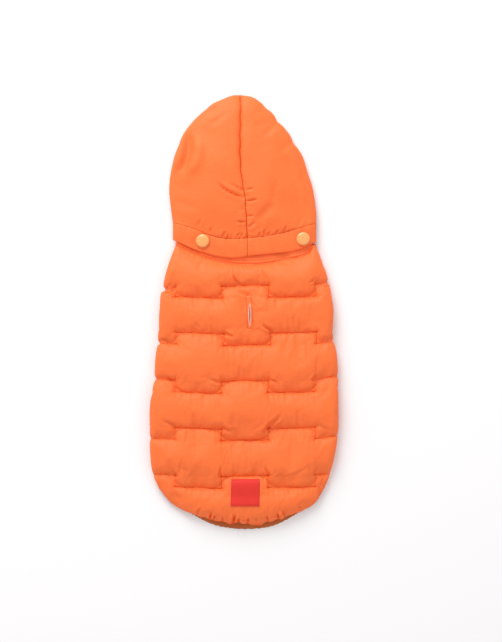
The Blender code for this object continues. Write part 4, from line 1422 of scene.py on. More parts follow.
SEAM_PUCKERS = Ripple(0.0065, seed=14)
CROWN_POWER = 2.2
CROWN_WANDER = 0.0003
CROWN_WANDER_TURN = 330
CROWN_WANDER_STARTS = (0.084, 0.100)


def hood_values(name: str, at: Array) -> Array:
    """A column of the hood's table, read between its sections."""
    values = [getattr(section, name) for section in HOOD_SECTIONS]
    return curve_through(range(len(values)), values, at)


def crown_seam_x(y: Array) -> Array:
    """X of the crown seam at each y, with the small wander of a sewn line."""
    seam_x = [section.seam_x for section in HOOD_SECTIONS]
    seam_y = [section.seam_y for section in HOOD_SECTIONS]
    wander = CROWN_WANDER * np.sin(y * CROWN_WANDER_TURN) * ramp(y, *CROWN_WANDER_STARTS)
    return curve_through(seam_y, seam_x, y) + wander


@dataclass
class TurnedCloth:
    """Cloth that runs from a seam out to a rounded fold, and from there back underneath.

    Attributes:
        start, end: Where each row begins and where its fold reaches, rows by xy.
        fold_height: Height where the fold begins in each row.
        under: Width of cloth turned under in each row, or None where the fold stops short.
        top_share: Shares of the way from the seam to the fold at which the columns lie.
    """

    start: Array
    end: Array
    fold_height: Array
    wall: float
    under: Array | None
    top_share: Array
    fold_columns: int = 18
    strip_columns: int = 8

    def sheet(
        self, top: Callable[[Array, Array, Array], Array], bend: Callable[[Array], Array]
    ) -> Sheet:
        """Both faces of the cloth.

        The fold is an ellipse that begins at FOLD_START above its widest place and ends level with
        the ground, or at BAND_END_ANGLE where nothing is turned under.

        Args:
            top: Height of the upper side, from x, y and the share of the way to the fold.
            bend: How far y is moved, from x.

        Returns:
            The sheet.
        """
        run = self.end - self.start
        length = np.linalg.norm(run, axis=1)[:, None]
        along = (run / length)[:, None, :]
        high = self.fold_height[:, None]
        flat = length - FOLD_SHARE * high
        radius = FOLD_SHARE * high / (1 - math.cos(FOLD_START))
        centre = length - radius
        last = BAND_END_ANGLE if self.under is None else -math.pi / 2
        turn = np.linspace(FOLD_START, last, self.fold_columns + 1)[None, 1:]
        tall = np.where(turn > 0, high / 2 / math.sin(FOLD_START), high / 2)
        tops = self.top_share[None, :] * flat
        strips = np.empty((len(high), 0))
        if self.under is not None:
            share = np.arange(1, self.strip_columns + 1)[None, :] / self.strip_columns
            strips = centre - self.under[:, None] * share
        share = np.concatenate([tops / flat, np.ones((len(high), self.fold_columns))], axis=1)
        faces = []
        for inset in (0.0, self.wall):
            reach = centre + (radius - inset) * np.cos(turn)
            distance = np.concatenate([tops, reach, strips], axis=1)
            plan = self.start[:, None, :] + distance[..., None] * along
            x = plan[..., 0]
            y = plan[..., 1] + bend(x)
            upper = top(x[:, : share.shape[1]], y[:, : share.shape[1]], share) - inset
            over = tops.shape[1]
            fold_z = high / 2 + (tall - inset) * np.sin(turn)
            dip = (upper[:, over:] + inset - high) * ramp(turn, 0.0, FOLD_START)
            z = np.concatenate([upper[:, :over], fold_z + dip, np.full(strips.shape, inset)], axis=1)
            faces.append(stacked(x, y, z))
        return Sheet(faces[0], faces[1])


@dataclass
class HoodHalf:
    """One half of the hood, from the crown seam to the fold on its side.

    A reach or a fade is a distance over which an effect dies away or sets in. Deepening and
    gap_closes are stretches of y, and calming is one of -y."""

    side: Side
    rows: int = 120
    top_columns: int = 64
    cut: Pair = (0.118, 0.17)
    cut_area: float = 0.0142
    seam_depth: float = 0.0015
    seam_deepens: float = 0.0010
    deepening: Pair = (0.135, 0.165)
    seam_reach: float = 0.0012
    valley_share: float = 0.7
    valley_reach: float = 0.006
    band_seam_depth: float = 0.0008
    gather_height: float = 0.0010
    gather_reach: float = 0.0052
    least_pull: float = 0.30
    most_pull: float = 1.1
    pucker_height: float = 0.00045
    pucker_reach: float = 0.0045
    calm_crown: float = 0.75
    calming: Pair = (-0.150, -0.125)
    rumple_fades: Pair = (0.004, 0.003)
    crease_fade: float = 0.0015
    pucker_fade: float = 0.001
    row_closeness: float = 0.35
    column_power: float = 1.35
    gap_closes: Pair = (0.160, 0.198)
    gap_taken: float = 0.8

    def upper(self, at: Array) -> Callable[[Array, Array, Array], Array]:
        """Height of the half's upper side, as a function of x, y and the share of the way out.

        With s that share it is fold + (crest - fold)(1 - s^CROWN_POWER), less a wide and a narrow
        valley beside the crown seam, plus creases, rumples, and the gathers along the band's seam.

        Args:
            at: Place of each row in the hood's table.

        Returns:
            The function.
        """
        fold = hood_values("fold_height", at)[:, None]
        crest = hood_values("crest", at)[:, None]
        valley = hood_values("valley", at)[:, None]

        def height(x: Array, y: Array, share: Array) -> Array:
            seam = np.abs(x - crown_seam_x(y))
            off_band = np.maximum(y - edge_y(BAND_TOP, x), 0)
            soft = ramp(seam, 0.0, self.rumple_fades[0]) * ramp(off_band, 0.0, self.rumple_fades[1])
            z = fold + (crest - fold) * (1 - share**CROWN_POWER)
            sunk = self.seam_depth + self.seam_deepens * ramp(y, *self.deepening)
            z = z - valley * self.valley_share * np.exp(-seam / self.valley_reach)
            z = z - sunk * np.exp(-seam / self.seam_reach)
            z = z - self.band_seam_depth * np.exp(-off_band / self.seam_reach)
            z = z + creased(HOOD_CREASES, x, y) * ramp(off_band, 0.0, self.crease_fade)
            z = z + HOOD_RUMPLE_HEIGHT * HOOD_RUMPLES.at(x, y) * soft
            pull = sum(hill(x - place, GATHER_SPREAD) for place in GATHER_PLACES)
            pull = (self.least_pull + self.most_pull * pull) * np.exp(-off_band / self.gather_reach)
            z = z + self.gather_height * GATHERS.at(x, y) * pull * ramp(off_band, 0.0, self.seam_reach)
            low = 1 - self.calm_crown * (1 - ramp(-y, *self.calming))
            pucker = np.exp(-seam / self.pucker_reach) * ramp(seam, 0.0, self.pucker_fade) * low
            return z + self.pucker_height * SEAM_PUCKERS.at(x, y) * pucker

        return height

    def sheet(self) -> Sheet:
        """Both faces of the half."""
        last = len(HOOD_SECTIONS) - 1
        at = closed_up(self.rows, self.row_closeness) * last
        sign = self.side.value
        seam_y = hood_values("seam_y", at)
        gap = SEAM_GAP / 2 * (1 - self.gap_taken * ramp(seam_y, *self.gap_closes))
        start = np.stack([crown_seam_x(seam_y) + sign * gap, seam_y], axis=1)
        name = self.side.label
        end = np.stack([hood_values(name + "_x", at), hood_values(name + "_y", at)], axis=1)
        end[-1, 0] = start[-1, 0]
        push = sum(n.push * hill(end[:, 1] - n.y, n.reach) for n in HOOD_NUDGES[self.side])
        run = end - start
        end = end + push[:, None] * run / np.linalg.norm(run, axis=1, keepdims=True)
        first = HOOD_SECTIONS[0]
        far_x, far_y = getattr(first, name + "_x"), getattr(first, name + "_y")
        slope = (far_y - first.seam_y) / (far_x - first.seam_x)
        share = hood_values("band_share", at)[:, None]

        def bend(x: Array) -> Array:
            straight = first.seam_y + (x - first.seam_x) * slope
            return share * (edge_y(BAND_TOP, x) + LAP_GAP - straight)

        cloth = TurnedCloth(
            start,
            end,
            hood_values("fold_height", at),
            HOOD_WALL,
            hood_values("turned_under", at),
            np.linspace(0, 1, self.top_columns) ** self.column_power,
        )
        return cloth.sheet(self.upper(at), bend)

    def build(self, cloth: Material) -> Piece:
        """Makes the half as a sheet that is folded under at its side."""
        mesh = self.sheet().mesh("hood_" + self.side.label + "_half")
        piece = add_piece(mesh, ("hood_" + self.side.label,), cloth)
        return piece


@dataclass
class BandHalf:
    """One half of the hood's band, from the join behind the head to its end beside the collar.

    Its edges are soft over the edge's width, and it droops from its seam to its lower edge."""

    side: Side
    rows: int = 30
    top_columns: int = 90
    edge: float = 0.0016
    wall: float = 0.0017
    droop: float = 0.0017
    edge_drop: float = 0.0011
    press: float = 0.0007
    press_reach: float = 0.0035
    join_depth: float = 0.0007
    join_reach: float = 0.0012
    rumple: float = 0.00022
    rumple_scale: float = 2.4
    pucker: float = 0.00025
    pucker_reach: float = 0.004
    bulge: float = 0.0004
    row_closeness: float = 0.8
    column_power: float = 1.2
    cut: Pair = (0.085, 0.02)

    def lift(self, x: Array, y: Array) -> Array:
        """Height of the band: rounded at both edges, a little rumpled, and pressed in by the cap.

        Args:
            x, y: Place of each point.

        Returns:
            The height there.
        """
        from_top = edge_y(BAND_TOP, x) - LAP_GAP - y
        from_foot = y - edge_y(BAND_BOTTOM, x)
        near = np.clip(1 - np.minimum(from_top, from_foot) / self.edge, 0, 1)
        round_off = self.edge_drop * (1 - np.sqrt(1 - near**2))
        centre = SNAP_CENTRES[self.side]
        away = np.hypot(x - centre.x, y - centre.y)
        press = self.press * hill(np.maximum(away - SNAP_RADIUS, 0), self.press_reach)
        join = self.join_depth * np.exp(-np.abs(x - BAND_JOIN_X) / self.join_reach)
        rumple = self.rumple * HOOD_RUMPLES.at(self.rumple_scale * x + 1, self.rumple_scale * y)
        pucker = self.pucker * GATHERS.at(x, y) * np.exp(-from_top / self.pucker_reach)
        down = np.clip(from_top / (from_top + from_foot), 0, 1)
        bulge = self.bulge * np.sin(math.pi * down) - self.droop * down**2
        return BAND_HEIGHT + bulge + rumple + pucker - round_off - press - join

    def build(self, cloth: Material) -> Piece:
        """Makes the half as a sheet laid on the collar.

        Args:
            cloth: Its material.

        Returns:
            The piece.
        """
        share = closed_up(self.rows, self.row_closeness)
        fold_height = HOOD_SECTIONS[0].fold_height
        sign = self.side.value
        end_x = getattr(HOOD_SECTIONS[0], self.side.label + "_x")
        level = np.zeros_like(share)
        start = np.stack([level + BAND_JOIN_X + sign * SEAM_GAP / 2, level], axis=1)
        end = np.stack([level + end_x, level], axis=1)

        def bend(x: Array) -> Array:
            top = edge_y(BAND_TOP, x) - LAP_GAP
            return top + (edge_y(BAND_BOTTOM, x) - top) * share[:, None]

        def height(x: Array, y: Array, out: Array) -> Array:
            fall = (BAND_HEIGHT - fold_height) * out**CROWN_POWER
            return self.lift(x, y) - fall

        strip = TurnedCloth(
            start,
            end,
            np.full_like(share, fold_height),
            self.wall,
            None,
            np.linspace(0, 1, self.top_columns) ** self.column_power,
        )
        mesh = strip.sheet(height, bend).mesh("band_" + self.side.label + "_half")
        node = "hood_band_" + self.side.label
        piece = add_piece(mesh, (node,), cloth)
        return piece


@dataclass
class Collar:
    """Flattened ring of thin cloth, sewn to the neckline and hidden under the band.

    Attributes:
        half_widths: Distance of its left and right folds from the middle.
        heights: Height at the neckline and at its top edge.
        flares: How much wider its left and right sides are at the neckline.
        flat_columns: Columns across its upper side, and as many across its lower side.
        sewn: Distance of the two sewn lines from the neckline.
    """

    half_widths: Pair = (0.0715, 0.0717)
    heights: Pair = (0.0078, 0.0064)
    top_y: float = 0.084
    wall: float = 0.002
    flares: Pair = (0.0008, 0.003)
    rows: int = 46
    flat_columns: int = 110
    fold_columns: int = 14
    sewn: Pair = (0.0012, 0.0042)
    cut: Pair = (0.287, 0.035)
    cut_area: float = 0.0084
    groove: float = 0.00045
    groove_width: float = 0.0006
    swell: float = 0.0005
    swell_width: float = 0.0011
    puff: float = 0.0007
    puff_rises: Pair = (0.002, 0.006)
    pucker: float = 0.00022
    pucker_shift: float = 0.3
    pucker_at: float = 0.003
    wave: float = 0.0004
    wave_scale: float = 1.6
    wave_fade: float = 0.002
    upper_share: float = 0.9
    sewn_reach: float = 0.066
    sewn_steps: int = 240
    flare_share: float = 0.34

    def ring(self, height: Array, flare: Array, inset: float) -> tuple[Array, Array]:
        """The flattened ring in each row, two levels joined by half circles.

        Args:
            height, flare: Height and share of the flare in each row.
            inset: How far the ring is moved in.

        Returns:
            Its x and its z, rows by columns.
        """
        radius = height[:, None] / 2
        left = radius - self.half_widths[0] - self.flares[0] * flare[:, None]
        right = self.half_widths[1] + self.flares[1] * flare[:, None] - radius
        share = np.linspace(0, 1, self.flat_columns + 2)[None, 1:-1]
        flat = left + (right - left) * share
        turn = np.linspace(math.pi / 2, -math.pi / 2, self.fold_columns)[None, :]
        reach = radius - inset
        fold_x, fold_z = reach * np.cos(turn), reach * np.sin(turn)
        x = [flat, right + fold_x, flat[:, ::-1], left - fold_x[:, ::-1]]
        z = [reach + 0 * flat, fold_z, -reach + 0 * flat, fold_z[:, ::-1]]
        return np.concatenate(x, axis=1), np.concatenate(z, axis=1) + radius

    def lift(self, x: Array, y: Array) -> Array:
        """Height that seams, folds and rumples add to the upper side.

        Args:
            x, y: Place of each point.

        Returns:
            The height to add there.
        """
        above = y - neckline_y(x)
        groove = sum(self.groove * hill(above - line, self.groove_width) for line in self.sewn)
        swell = self.swell * hill(above - sum(self.sewn) / 2, self.swell_width)
        swell = swell + self.puff * ramp(above, *self.puff_rises)
        off_line = np.abs(above - self.pucker_at) / self.pucker_at
        pucker = self.pucker * GATHERS.at(x + self.pucker_shift, y) * np.exp(-off_line)
        wave = self.wave * HOOD_RUMPLES.at(self.wave_scale * x + 2, self.wave_scale * y)
        return swell - groove + (pucker + wave) * ramp(above, 0.0, self.wave_fade)

    def build(self, cloth: Material) -> Piece:
        """Makes the collar as a sheet laid flat.

        Args:
            cloth: Its material.

        Returns:
            The piece.
        """
        share = closed_up(self.rows, 0.5)
        height = self.heights[0] + (self.heights[1] - self.heights[0]) * share
        flare = 1 - ramp(share, 0.0, self.flare_share)
        faces = []
        for inset in (0.0, self.wall):
            x, z = self.ring(height, flare, inset)
            low = neckline_y(x) + LAP_GAP
            y = low + (self.top_y - low) * share[:, None]
            upper = ramp(z, height[:, None] / 2, height[:, None] * self.upper_share - inset)
            faces.append(stacked(x, y, z + self.lift(x, y) * upper))
        mesh = Sheet(faces[0], faces[1], wrap=True).mesh("collar_tube")
        piece = add_piece(mesh, ("collar",), cloth)
        return piece

    def sewn_line(self, line: float) -> Array:
        """Points across the collar's upper side at one distance from the neckline.

        Args:
            line: The distance.

        Returns:
            The points.
        """
        x = np.linspace(-self.sewn_reach, self.sewn_reach, self.sewn_steps)
        y = neckline_y(x) + line
        share = (y - neckline_y(x)) / (self.top_y - neckline_y(x))
        height = self.heights[0] + (self.heights[1] - self.heights[0]) * share
        return stacked(x, y, height + self.lift(x, y) + THREAD_LIFT / 2)


def lathed(profile: Array, steps: int = 64) -> tuple[Array, Array]:
    """Points and quads of a round piece, closed at both ends by quads across its last ring.

    Args:
        profile: Radius and height of each ring, from the top down.
        steps: Points round it.

    Returns:
        The points and the quads.
    """
    turn = np.linspace(0, 2 * math.pi, steps, endpoint=False)
    radius, height = profile[:, :1], profile[:, 1:]
    points = stacked(radius * np.cos(turn), radius * np.sin(turn), height).reshape(-1, 3)
    faces = [grid_faces(len(profile), steps, wrap=True)]
    pairs = np.arange(steps // 2 - 1)
    for first, turned in ((0, False), ((len(profile) - 1) * steps, True)):
        cap = np.stack([pairs, pairs + 1, steps - 2 - pairs, steps - 1 - pairs], axis=1) + first
        faces.append(cap if turned else cap[:, ::-1])
    return points, np.concatenate(faces)


@dataclass
class SnapCap:
    """Domed cap of a snap, seated on the band, with a moulded dimple in its middle.

    The tilt, in radians, is how far it leans to the left."""

    side: Side
    radius: float = SNAP_RADIUS
    height: float = 0.003
    dimple: float = 0.00025
    dimple_radius: float = 0.0009
    rim: float = 0.0009
    rim_radius: float = 0.0006
    rim_start: float = math.radians(60)
    rim_rings: int = 10
    ring: float = 0.00012
    ring_share: float = 0.72
    ring_width: float = 0.0005
    innermost: Pair = (0.00012, 0.0004)
    dome_rings: int = 22
    dome_power: float = 2.6
    foot_share: float = 0.4
    seat_gap: float = 0.0002
    seat_share: float = 0.6
    tilt: float = 0.0

    def build(self, band: BandHalf, plastic: Material) -> Piece:
        """Makes the cap: z = rim + dome sqrt(1 - (r / R)^power), less the dimple, over a rounded rim.

        Args:
            band: The half of the band that it sits on.
            plastic: Its material.

        Returns:
            The piece.
        """
        flat = self.radius - self.rim_radius
        first, second = self.innermost
        across = np.concatenate([[first], np.linspace(second, flat, self.dome_rings)])
        dome = (self.height - self.rim) * (1 - (across / self.radius) ** self.dome_power) ** 0.5
        z = self.rim + dome - self.dimple * hill(across, self.dimple_radius)
        ring = self.ring * hill(across - self.ring_share * self.radius, self.ring_width)
        turn = np.linspace(self.rim_start, -math.pi / 2, self.rim_rings)
        edge = flat + self.rim_radius * np.cos(turn)
        edge_z = self.rim * (0.5 + 0.5 * np.sin(turn))
        radius = np.concatenate([across, edge, [self.foot_share * self.radius]])
        height = np.concatenate([z + ring, edge_z, [0.0]])
        points, faces = lathed(np.stack([radius, height], axis=1))
        lean, x, z = math.cos(self.tilt), points[:, 0].copy(), points[:, 2].copy()
        points[:, 0] = x * lean - z * math.sin(self.tilt)
        points[:, 2] = z * lean + x * math.sin(self.tilt)
        centre = SNAP_CENTRES[self.side]
        seat = float(band.lift(np.array(centre.x), np.array(centre.y)))
        lift = self.radius * math.sin(abs(self.tilt)) * self.seat_share
        points += (centre.x, centre.y, seat + self.seat_gap + lift)
        mesh = mesh_from("snap_dome_" + self.side.label, points, faces)
        return add_piece(mesh, ("snap_cap_" + self.side.label,), plastic)


# ---- belly and bindings

LEG_HOLE_CENTRE = EdgePoint(0.033, 0.018)
LEG_HOLE_RADII = (0.0185, 0.0235)
BELLY_CREASES = in_mm(
    Crease,
    (-10, 35, 12, -40, 0.7, 4, 4), (-40, -30, -15, -70, 0.6, 3.5),
    (42, -45, 18, -85, 0.7, 3, -3), (-50, -80, -10, -98, 0.5, 3),
    (-48, 10, -56, -25, 0.5, 2.5), (52, 5, 56, -30, 0.5, 2.5),
)


@dataclass
class BellyPanel:
    """Padded belly, flat on the ground between the turned-under flanks.

    Its sides follow the strips' edges, whose x and y depend on each other: rounds is how often they
    are worked out in turn."""

    rear_y: float = -0.118
    thickness: float = 0.0045
    edge_thickness: float = 0.0018
    rows: int = 90
    columns: int = 84
    rounds: int = 6
    side_fade: float = 0.08
    end_fade: float = 0.05
    rumple: float = 0.0002
    thins_from: float = 0.9
    cut_steps: int = 72
    cut_heights: Pair = (-0.01, 0.02)

    def sheet(self) -> Sheet:
        """Both faces, the lower one on the ground except in its shallow creases."""
        share = np.linspace(0, 1, self.rows)[:, None]
        place = np.linspace(-1, 1, self.columns)[None, :]
        x = place * STRIP_EDGE_AT_CENTRE + 0 * share
        for _ in range(self.rounds):
            neck = neckline_y(x) - SEAM_GAP
            y = neck + (self.rear_y - neck) * share
            x = place * (STRIP_EDGE_AT_CENTRE - STRIP_TAPER * y - SEAM_GAP)
        inside = ramp(1 - np.abs(place), 0.0, self.side_fade)
        inside = inside * ramp(np.minimum(share, 1 - share), 0.0, self.end_fade)
        lift = -creased(BELLY_CREASES, x, y) + self.rumple * HOOD_RUMPLES.at(2 * x, 2 * y)
        lift = np.maximum(lift, 0) * inside
        thin = ramp(share, self.thins_from, 1.0)
        top = self.thickness + (self.edge_thickness - self.thickness) * thin
        return Sheet(stacked(x, y, top - 0.5 * lift), stacked(x, y, lift))

    def build(self, cloth: Material) -> Piece:
        """Makes the panel as a padded piece, with both leg holes cut, shifted as the back is.

        Args:
            cloth: Its material.

        Returns:
            The piece.
        """
        mesh = self.sheet().mesh("belly_pad")
        piece = add_piece(mesh, ("belly_panel",), cloth)
        cutters = [self.cut(piece, side) for side in Side]
        graph = bpy.context.evaluated_depsgraph_get()
        finished = bpy.data.meshes.new_from_object(piece.evaluated_get(graph))
        piece.modifiers.clear()
        piece.data = finished
        finished.name = "belly_pad"
        points = np.empty(len(finished.vertices) * 3, np.float32)
        finished.vertices.foreach_get("co", points)
        shifted = laid(points.reshape(-1, 3).astype(float))
        finished.vertices.foreach_set("co", shifted.ravel())
        for cutter in cutters:
            bpy.data.objects.remove(cutter)
        return piece

    def cut(self, piece: Piece, side: Side) -> Piece:
        """Adds the cut of one leg hole, an upright oval prism.

        Args:
            piece: The belly.
            side: Which leg.

        Returns:
            The prism, to be removed once the cut is applied.
        """
        turn = np.linspace(0, 2 * math.pi, self.cut_steps, endpoint=False)
        x = side.value * LEG_HOLE_CENTRE.x + LEG_HOLE_RADII[0] * np.cos(turn)
        y = LEG_HOLE_CENTRE.y + LEG_HOLE_RADII[1] * np.sin(turn)
        points = np.concatenate([stacked(x, y, height) for height in self.cut_heights])
        sides = grid_faces(2, len(turn), wrap=True).tolist()
        caps = [list(range(len(turn)))[::-1], list(range(len(turn), 2 * len(turn)))]
        mesh = bpy.data.meshes.new("leg_cut")
        mesh.from_pydata(points, [], sides + caps)
        cutter = bpy.data.objects.new("leg_cut", mesh)
        bpy.context.scene.collection.objects.link(cutter)
        modifier = piece.modifiers.new("Leg hole", "BOOLEAN")
        modifier.operation = "DIFFERENCE"
        modifier.object = cutter
        return cutter


@dataclass
class LegBinding:
    """Rounded elastic binding inside a leg hole, with small gathers, its ribs, all round it.

    The section is the angles above the level, in degrees, at which its points lie."""

    side: Side
    width: float = 0.003
    height: float = 0.0048
    ribs: int = 58
    rib_depth: float = 0.00022
    rib_wander: float = 0.6
    wanders: int = 5
    roundness: float = 0.6
    section: tuple[int, ...] = (-84, -60, -30, 0, 30, 60, 84)
    steps: int = 464

    def build(self, elastic: Material) -> Piece:
        """Makes the binding: an oval ring whose section is a rounded block.

        Args:
            elastic: Its material.

        Returns:
            The piece.
        """
        turn = np.linspace(0, 2 * math.pi, self.steps, endpoint=False)[None, :]
        rise = np.radians(self.section)[:, None]
        wander = self.rib_wander * np.sin(self.wanders * turn)
        rib = self.rib_depth * np.cos(self.ribs * turn + wander)
        faces = []
        for face in (1, -1):
            inset = SEAM_GAP + self.width / 2 * (1 - face * np.cos(rise) ** self.roundness)
            inset = inset + self.rib_depth - face * rib * np.cos(rise)
            x = self.side.value * LEG_HOLE_CENTRE.x + (LEG_HOLE_RADII[0] - inset) * np.cos(turn)
            y = LEG_HOLE_CENTRE.y + (LEG_HOLE_RADII[1] - inset) * np.sin(turn)
            z = self.height / 2 * (1 + np.sin(rise)) + 0 * turn
            faces.append(laid(stacked(x, y, z)))
        name = "leg_elastic_" + self.side.label
        mesh = Sheet(faces[0], faces[1], wrap=True).mesh(name)
        piece = add_piece(mesh, ("leg_binding_" + self.side.label,), elastic)
        return piece


# Share of the width inwards, and height as a share of the thickness.
HEM_SECTION = (
    (1.0, 1.0), (0.7, 1.0), (0.45, 1.0), (0.3, 1.0),
    (0.18, 0.98), (0.1, 0.88), (0.05, 0.7), (0.02, 0.5), (0.0, 0.25),
)
# Size of each wander of the gathers' pitch, and how fast it turns along the hem.
HEM_WANDERS = ((0.9, 17), (0.8, 41))
HEM_BEATS = (29, 73)


@dataclass
class HemBand:
    """Gathered elastic casing under the tail, which shows as a dark edge past the hem. That darkness is
    partly the elastic's own colour and partly painted shade.

    Attributes:
        end: How far its ends stay inside the hem's ends.
        shown: How far it shows past the hem in the middle.
        hidden: How far it stays back from the hem at its ends.
        gathers: Number of gathers along it, each as deep as gather_depth.
        evenness: Least depth of a gather, as a share of the deepest.
        rib_share: Share of the thickness that rises and falls with the gathers, most at rib_at.
    """

    width: float = 0.015
    thickness: float = 0.0022
    end: float = 0.0075
    shown: float = 0.0058
    hidden: float = 0.0008
    gathers: int = 46
    gather_depth: float = 0.0004
    gather_power: float = 0.8
    evenness: float = 0.6
    rib_share: float = 0.3
    rib_at: float = 0.05
    rib_reach: float = 0.3
    shows: Pair = (-0.07, -0.022)
    narrows: Pair = (-1.45, -1.0)
    steps: int = 736
    cut: Pair = (0.215, 0.015)

    def build(self, elastic: Material) -> Piece:
        """Makes the casing.

        Along the hem the way is (left + right)/2 + (right - left)/2 sin(turn), so that the points
        close up at both ends. The gathers are 1 - 2 |sin|^power waves of uneven pitch and depth.

        Args:
            elastic: Its material.

        Returns:
            The piece.
        """
        share = np.linspace(0, 1, self.steps + 1)
        turn = (share - 0.5) * math.pi
        left, right = HEM[0].x + self.end, HEM[-1].x - self.end
        x = (left + right) / 2 + (right - left) / 2 * np.sin(turn)
        edge = stacked(x, edge_y(HEM, x), 0.0)[:, :2]
        run = np.gradient(edge, axis=0)
        out = np.stack([run[:, 1], -run[:, 0]], axis=1)
        out /= np.linalg.norm(out, axis=1)[:, None]
        past = (self.shown + self.hidden) * ramp(-np.abs(x), *self.shows) - self.hidden
        wanders = [size * np.sin(turns * share) for size, turns in HEM_WANDERS]
        phase = sum(wanders, math.pi * self.gathers * share)
        beat = np.sin(HEM_BEATS[0] * share) * np.sin(HEM_BEATS[1] * share + 1)
        depth = self.evenness + (1 - self.evenness) * beat
        wave = (1 - 2 * np.abs(np.sin(phase)) ** self.gather_power) * depth
        reach = past + self.gather_depth * wave
        width = self.width * (0.5 + 0.5 * ramp(-np.abs(turn), *self.narrows))
        inwards, upwards = np.array(HEM_SECTION).T
        inset = inwards[None, :] * width[:, None]
        plan = edge[:, None, :] + out[:, None, :] * (reach[:, None] * (1 - inwards) - inset)[..., None]
        rib = wave[:, None] * hill(inwards[None, :] - self.rib_at, self.rib_reach)
        top = self.thickness * upwards[None, :] * (1 - self.rib_share + self.rib_share * rib)
        outer = stacked(plan[..., 0], plan[..., 1], top)
        inner = stacked(plan[..., 0], plan[..., 1], 0.0)
        mesh = Sheet(outer, inner).mesh("hem_elastic")
        piece = add_piece(mesh, ("hem_band",), elastic)
        return piece


# ---- stitches

STITCH_RINGS = (-1.0, -0.82, -0.4, 0.4, 0.82, 1.0)
STITCH_END = 0.06


@dataclass(frozen=True)
class Stitching:
    """Rows of small raised stitches with gaps between them, joined into one piece."""

    name: str
    length: float = 0.0022
    gap: float = 0.001
    radius: float = 0.00019
    sides: int = 6

    def along(self, line: Array) -> tuple[Array, Array]:
        """Places the stitches along a line.

        Args:
            line: Points of the line.

        Returns:
            The middle and the direction of each stitch.
        """
        step = np.linalg.norm(np.diff(line, axis=0), axis=1)
        way = np.concatenate([[0], np.cumsum(step)])
        pitch = self.length + self.gap
        count = max(int(way[-1] / pitch), 1)
        middle = (np.arange(count) + 0.5) * way[-1] / count
        half = self.length / 2
        before, here, after = (
            np.stack([np.interp(middle + off, way, axis) for axis in line.T], axis=1)
            for off in (-half, 0.0, half)
        )
        run = after - before
        return here, run / np.linalg.norm(run, axis=1, keepdims=True)

    def build(self, lines: list[Array], slot: str, thread: Material) -> Piece:
        """Makes all the stitches.

        A stitch is a tube of radius r sqrt(1 - u^4) along u from -1 to 1, whose ends dip by the
        thread's thickness.

        Args:
            lines: Lines of points that the stitches follow.
            slot: Not used.
            thread: The thread's material.

        Returns:
            The piece.
        """
        pairs = [self.along(line) for line in lines]
        middle = np.concatenate([pair[0] for pair in pairs])[:, None, None, :]
        ahead = np.concatenate([pair[1] for pair in pairs])[:, None, None, :]
        beside = np.cross(ahead, (0.0, 0.0, 1.0))
        beside /= np.linalg.norm(beside, axis=-1, keepdims=True)
        upwards = np.cross(beside, ahead)
        u = np.array(STITCH_RINGS)[None, :, None, None]
        turn = np.linspace(0, 2 * math.pi, self.sides, endpoint=False)[None, None, :, None]
        radius = self.radius * np.sqrt(np.maximum(1 - u**4, STITCH_END))
        dip = 2 * self.radius * u**4
        points = middle + ahead * u * self.length / 2
        points = points + beside * radius * np.cos(turn) + upwards * (radius * np.sin(turn) - dip)
        count, rings = points.shape[0], points.shape[1]
        tube = grid_faces(rings, self.sides, wrap=True)
        last = (rings - 1) * self.sides
        caps = np.array([[3, 2, 1, 0], [5, 4, 3, 0], [0, 1, 2, 3], [0, 3, 4, 5]])
        caps[2:] += last
        faces = np.concatenate([tube, caps])
        block = rings * self.sides
        faces = (np.arange(count)[:, None, None] * block + faces).reshape(-1, 4)
        mesh = mesh_from(self.name, points.reshape(-1, 3), faces)
        return add_piece(mesh, (), thread)


def quilting_lines(back: BackPanel, sheet: Sheet) -> list[Array]:
    """Every run and jog of the quilting, as lines of points on the finished back.

    Args:
        back, sheet: The back panel and its finished sheet.

    Returns:
        The lines.
    """
    pattern = back.pattern
    left = back.fold_columns + back.strip_columns + back.flank_columns
    width = len(pattern.columns)
    lines = []
    for seam in range(pattern.count):
        middle = pattern.first_y - seam * pattern.pitch
        top = back.head_rows + int(np.argmin(np.abs(pattern.rows - middle - pattern.step / 2)))
        foot = back.head_rows + int(np.argmin(np.abs(pattern.rows - middle + pattern.step / 2)))
        for band in range(pattern.jog_count + 1):
            row = top if pattern.side_of(band, seam) > 0 else foot
            last = left + pattern.column_cells * band
            start = max(last - pattern.column_cells, left - back.flank_columns)
            stop = min(last, left + width - 1 + back.flank_columns)
            lines.append(sheet.outer[row, start : stop + 1])
            if band < pattern.jog_count:
                lines.append(sheet.outer[top : foot + 1, last])
    return lines


# ---- finishes

MOTTLE_SCALE = 28.0
FINE_RUMPLE_SCALE = 3.1
FINE_RUMPLE_SHARE = 0.35
WEAVE_SIZES = ("Thread Pitch", "Weave Height", "Rumple Size", "Rumple Height")


def new_group(name: str, inputs: dict[str, str], outputs: dict[str, str]) -> NodeTree:
    """Shader node group with an input and an output node.

    Args:
        name: Name of the group.
        inputs, outputs: Socket type of each named input and output.

    Returns:
        The group.
    """
    group = bpy.data.node_groups.new(name, "ShaderNodeTree")
    for label, kind in inputs.items():
        group.interface.new_socket(label, in_out="INPUT", socket_type=kind)
    for label, kind in outputs.items():
        group.interface.new_socket(label, in_out="OUTPUT", socket_type=kind)
    group.nodes.new("NodeGroupInput").name = "In"
    group.nodes.new("NodeGroupOutput").name = "Out"
    return group


def math_node(tree: NodeTree, operation: str, *values: object) -> Socket:
    """Math node whose inputs are sockets or plain numbers.

    Args:
        tree, operation: Where it goes and what it does.
        values: Its inputs.

    Returns:
        Its output.
    """
    node = tree.nodes.new("ShaderNodeMath")
    node.operation = operation
    for socket, value in zip(node.inputs, values):
        if isinstance(value, Socket):
            tree.links.new(value, socket)
        else:
            socket.default_value = value
    return node.outputs[0]


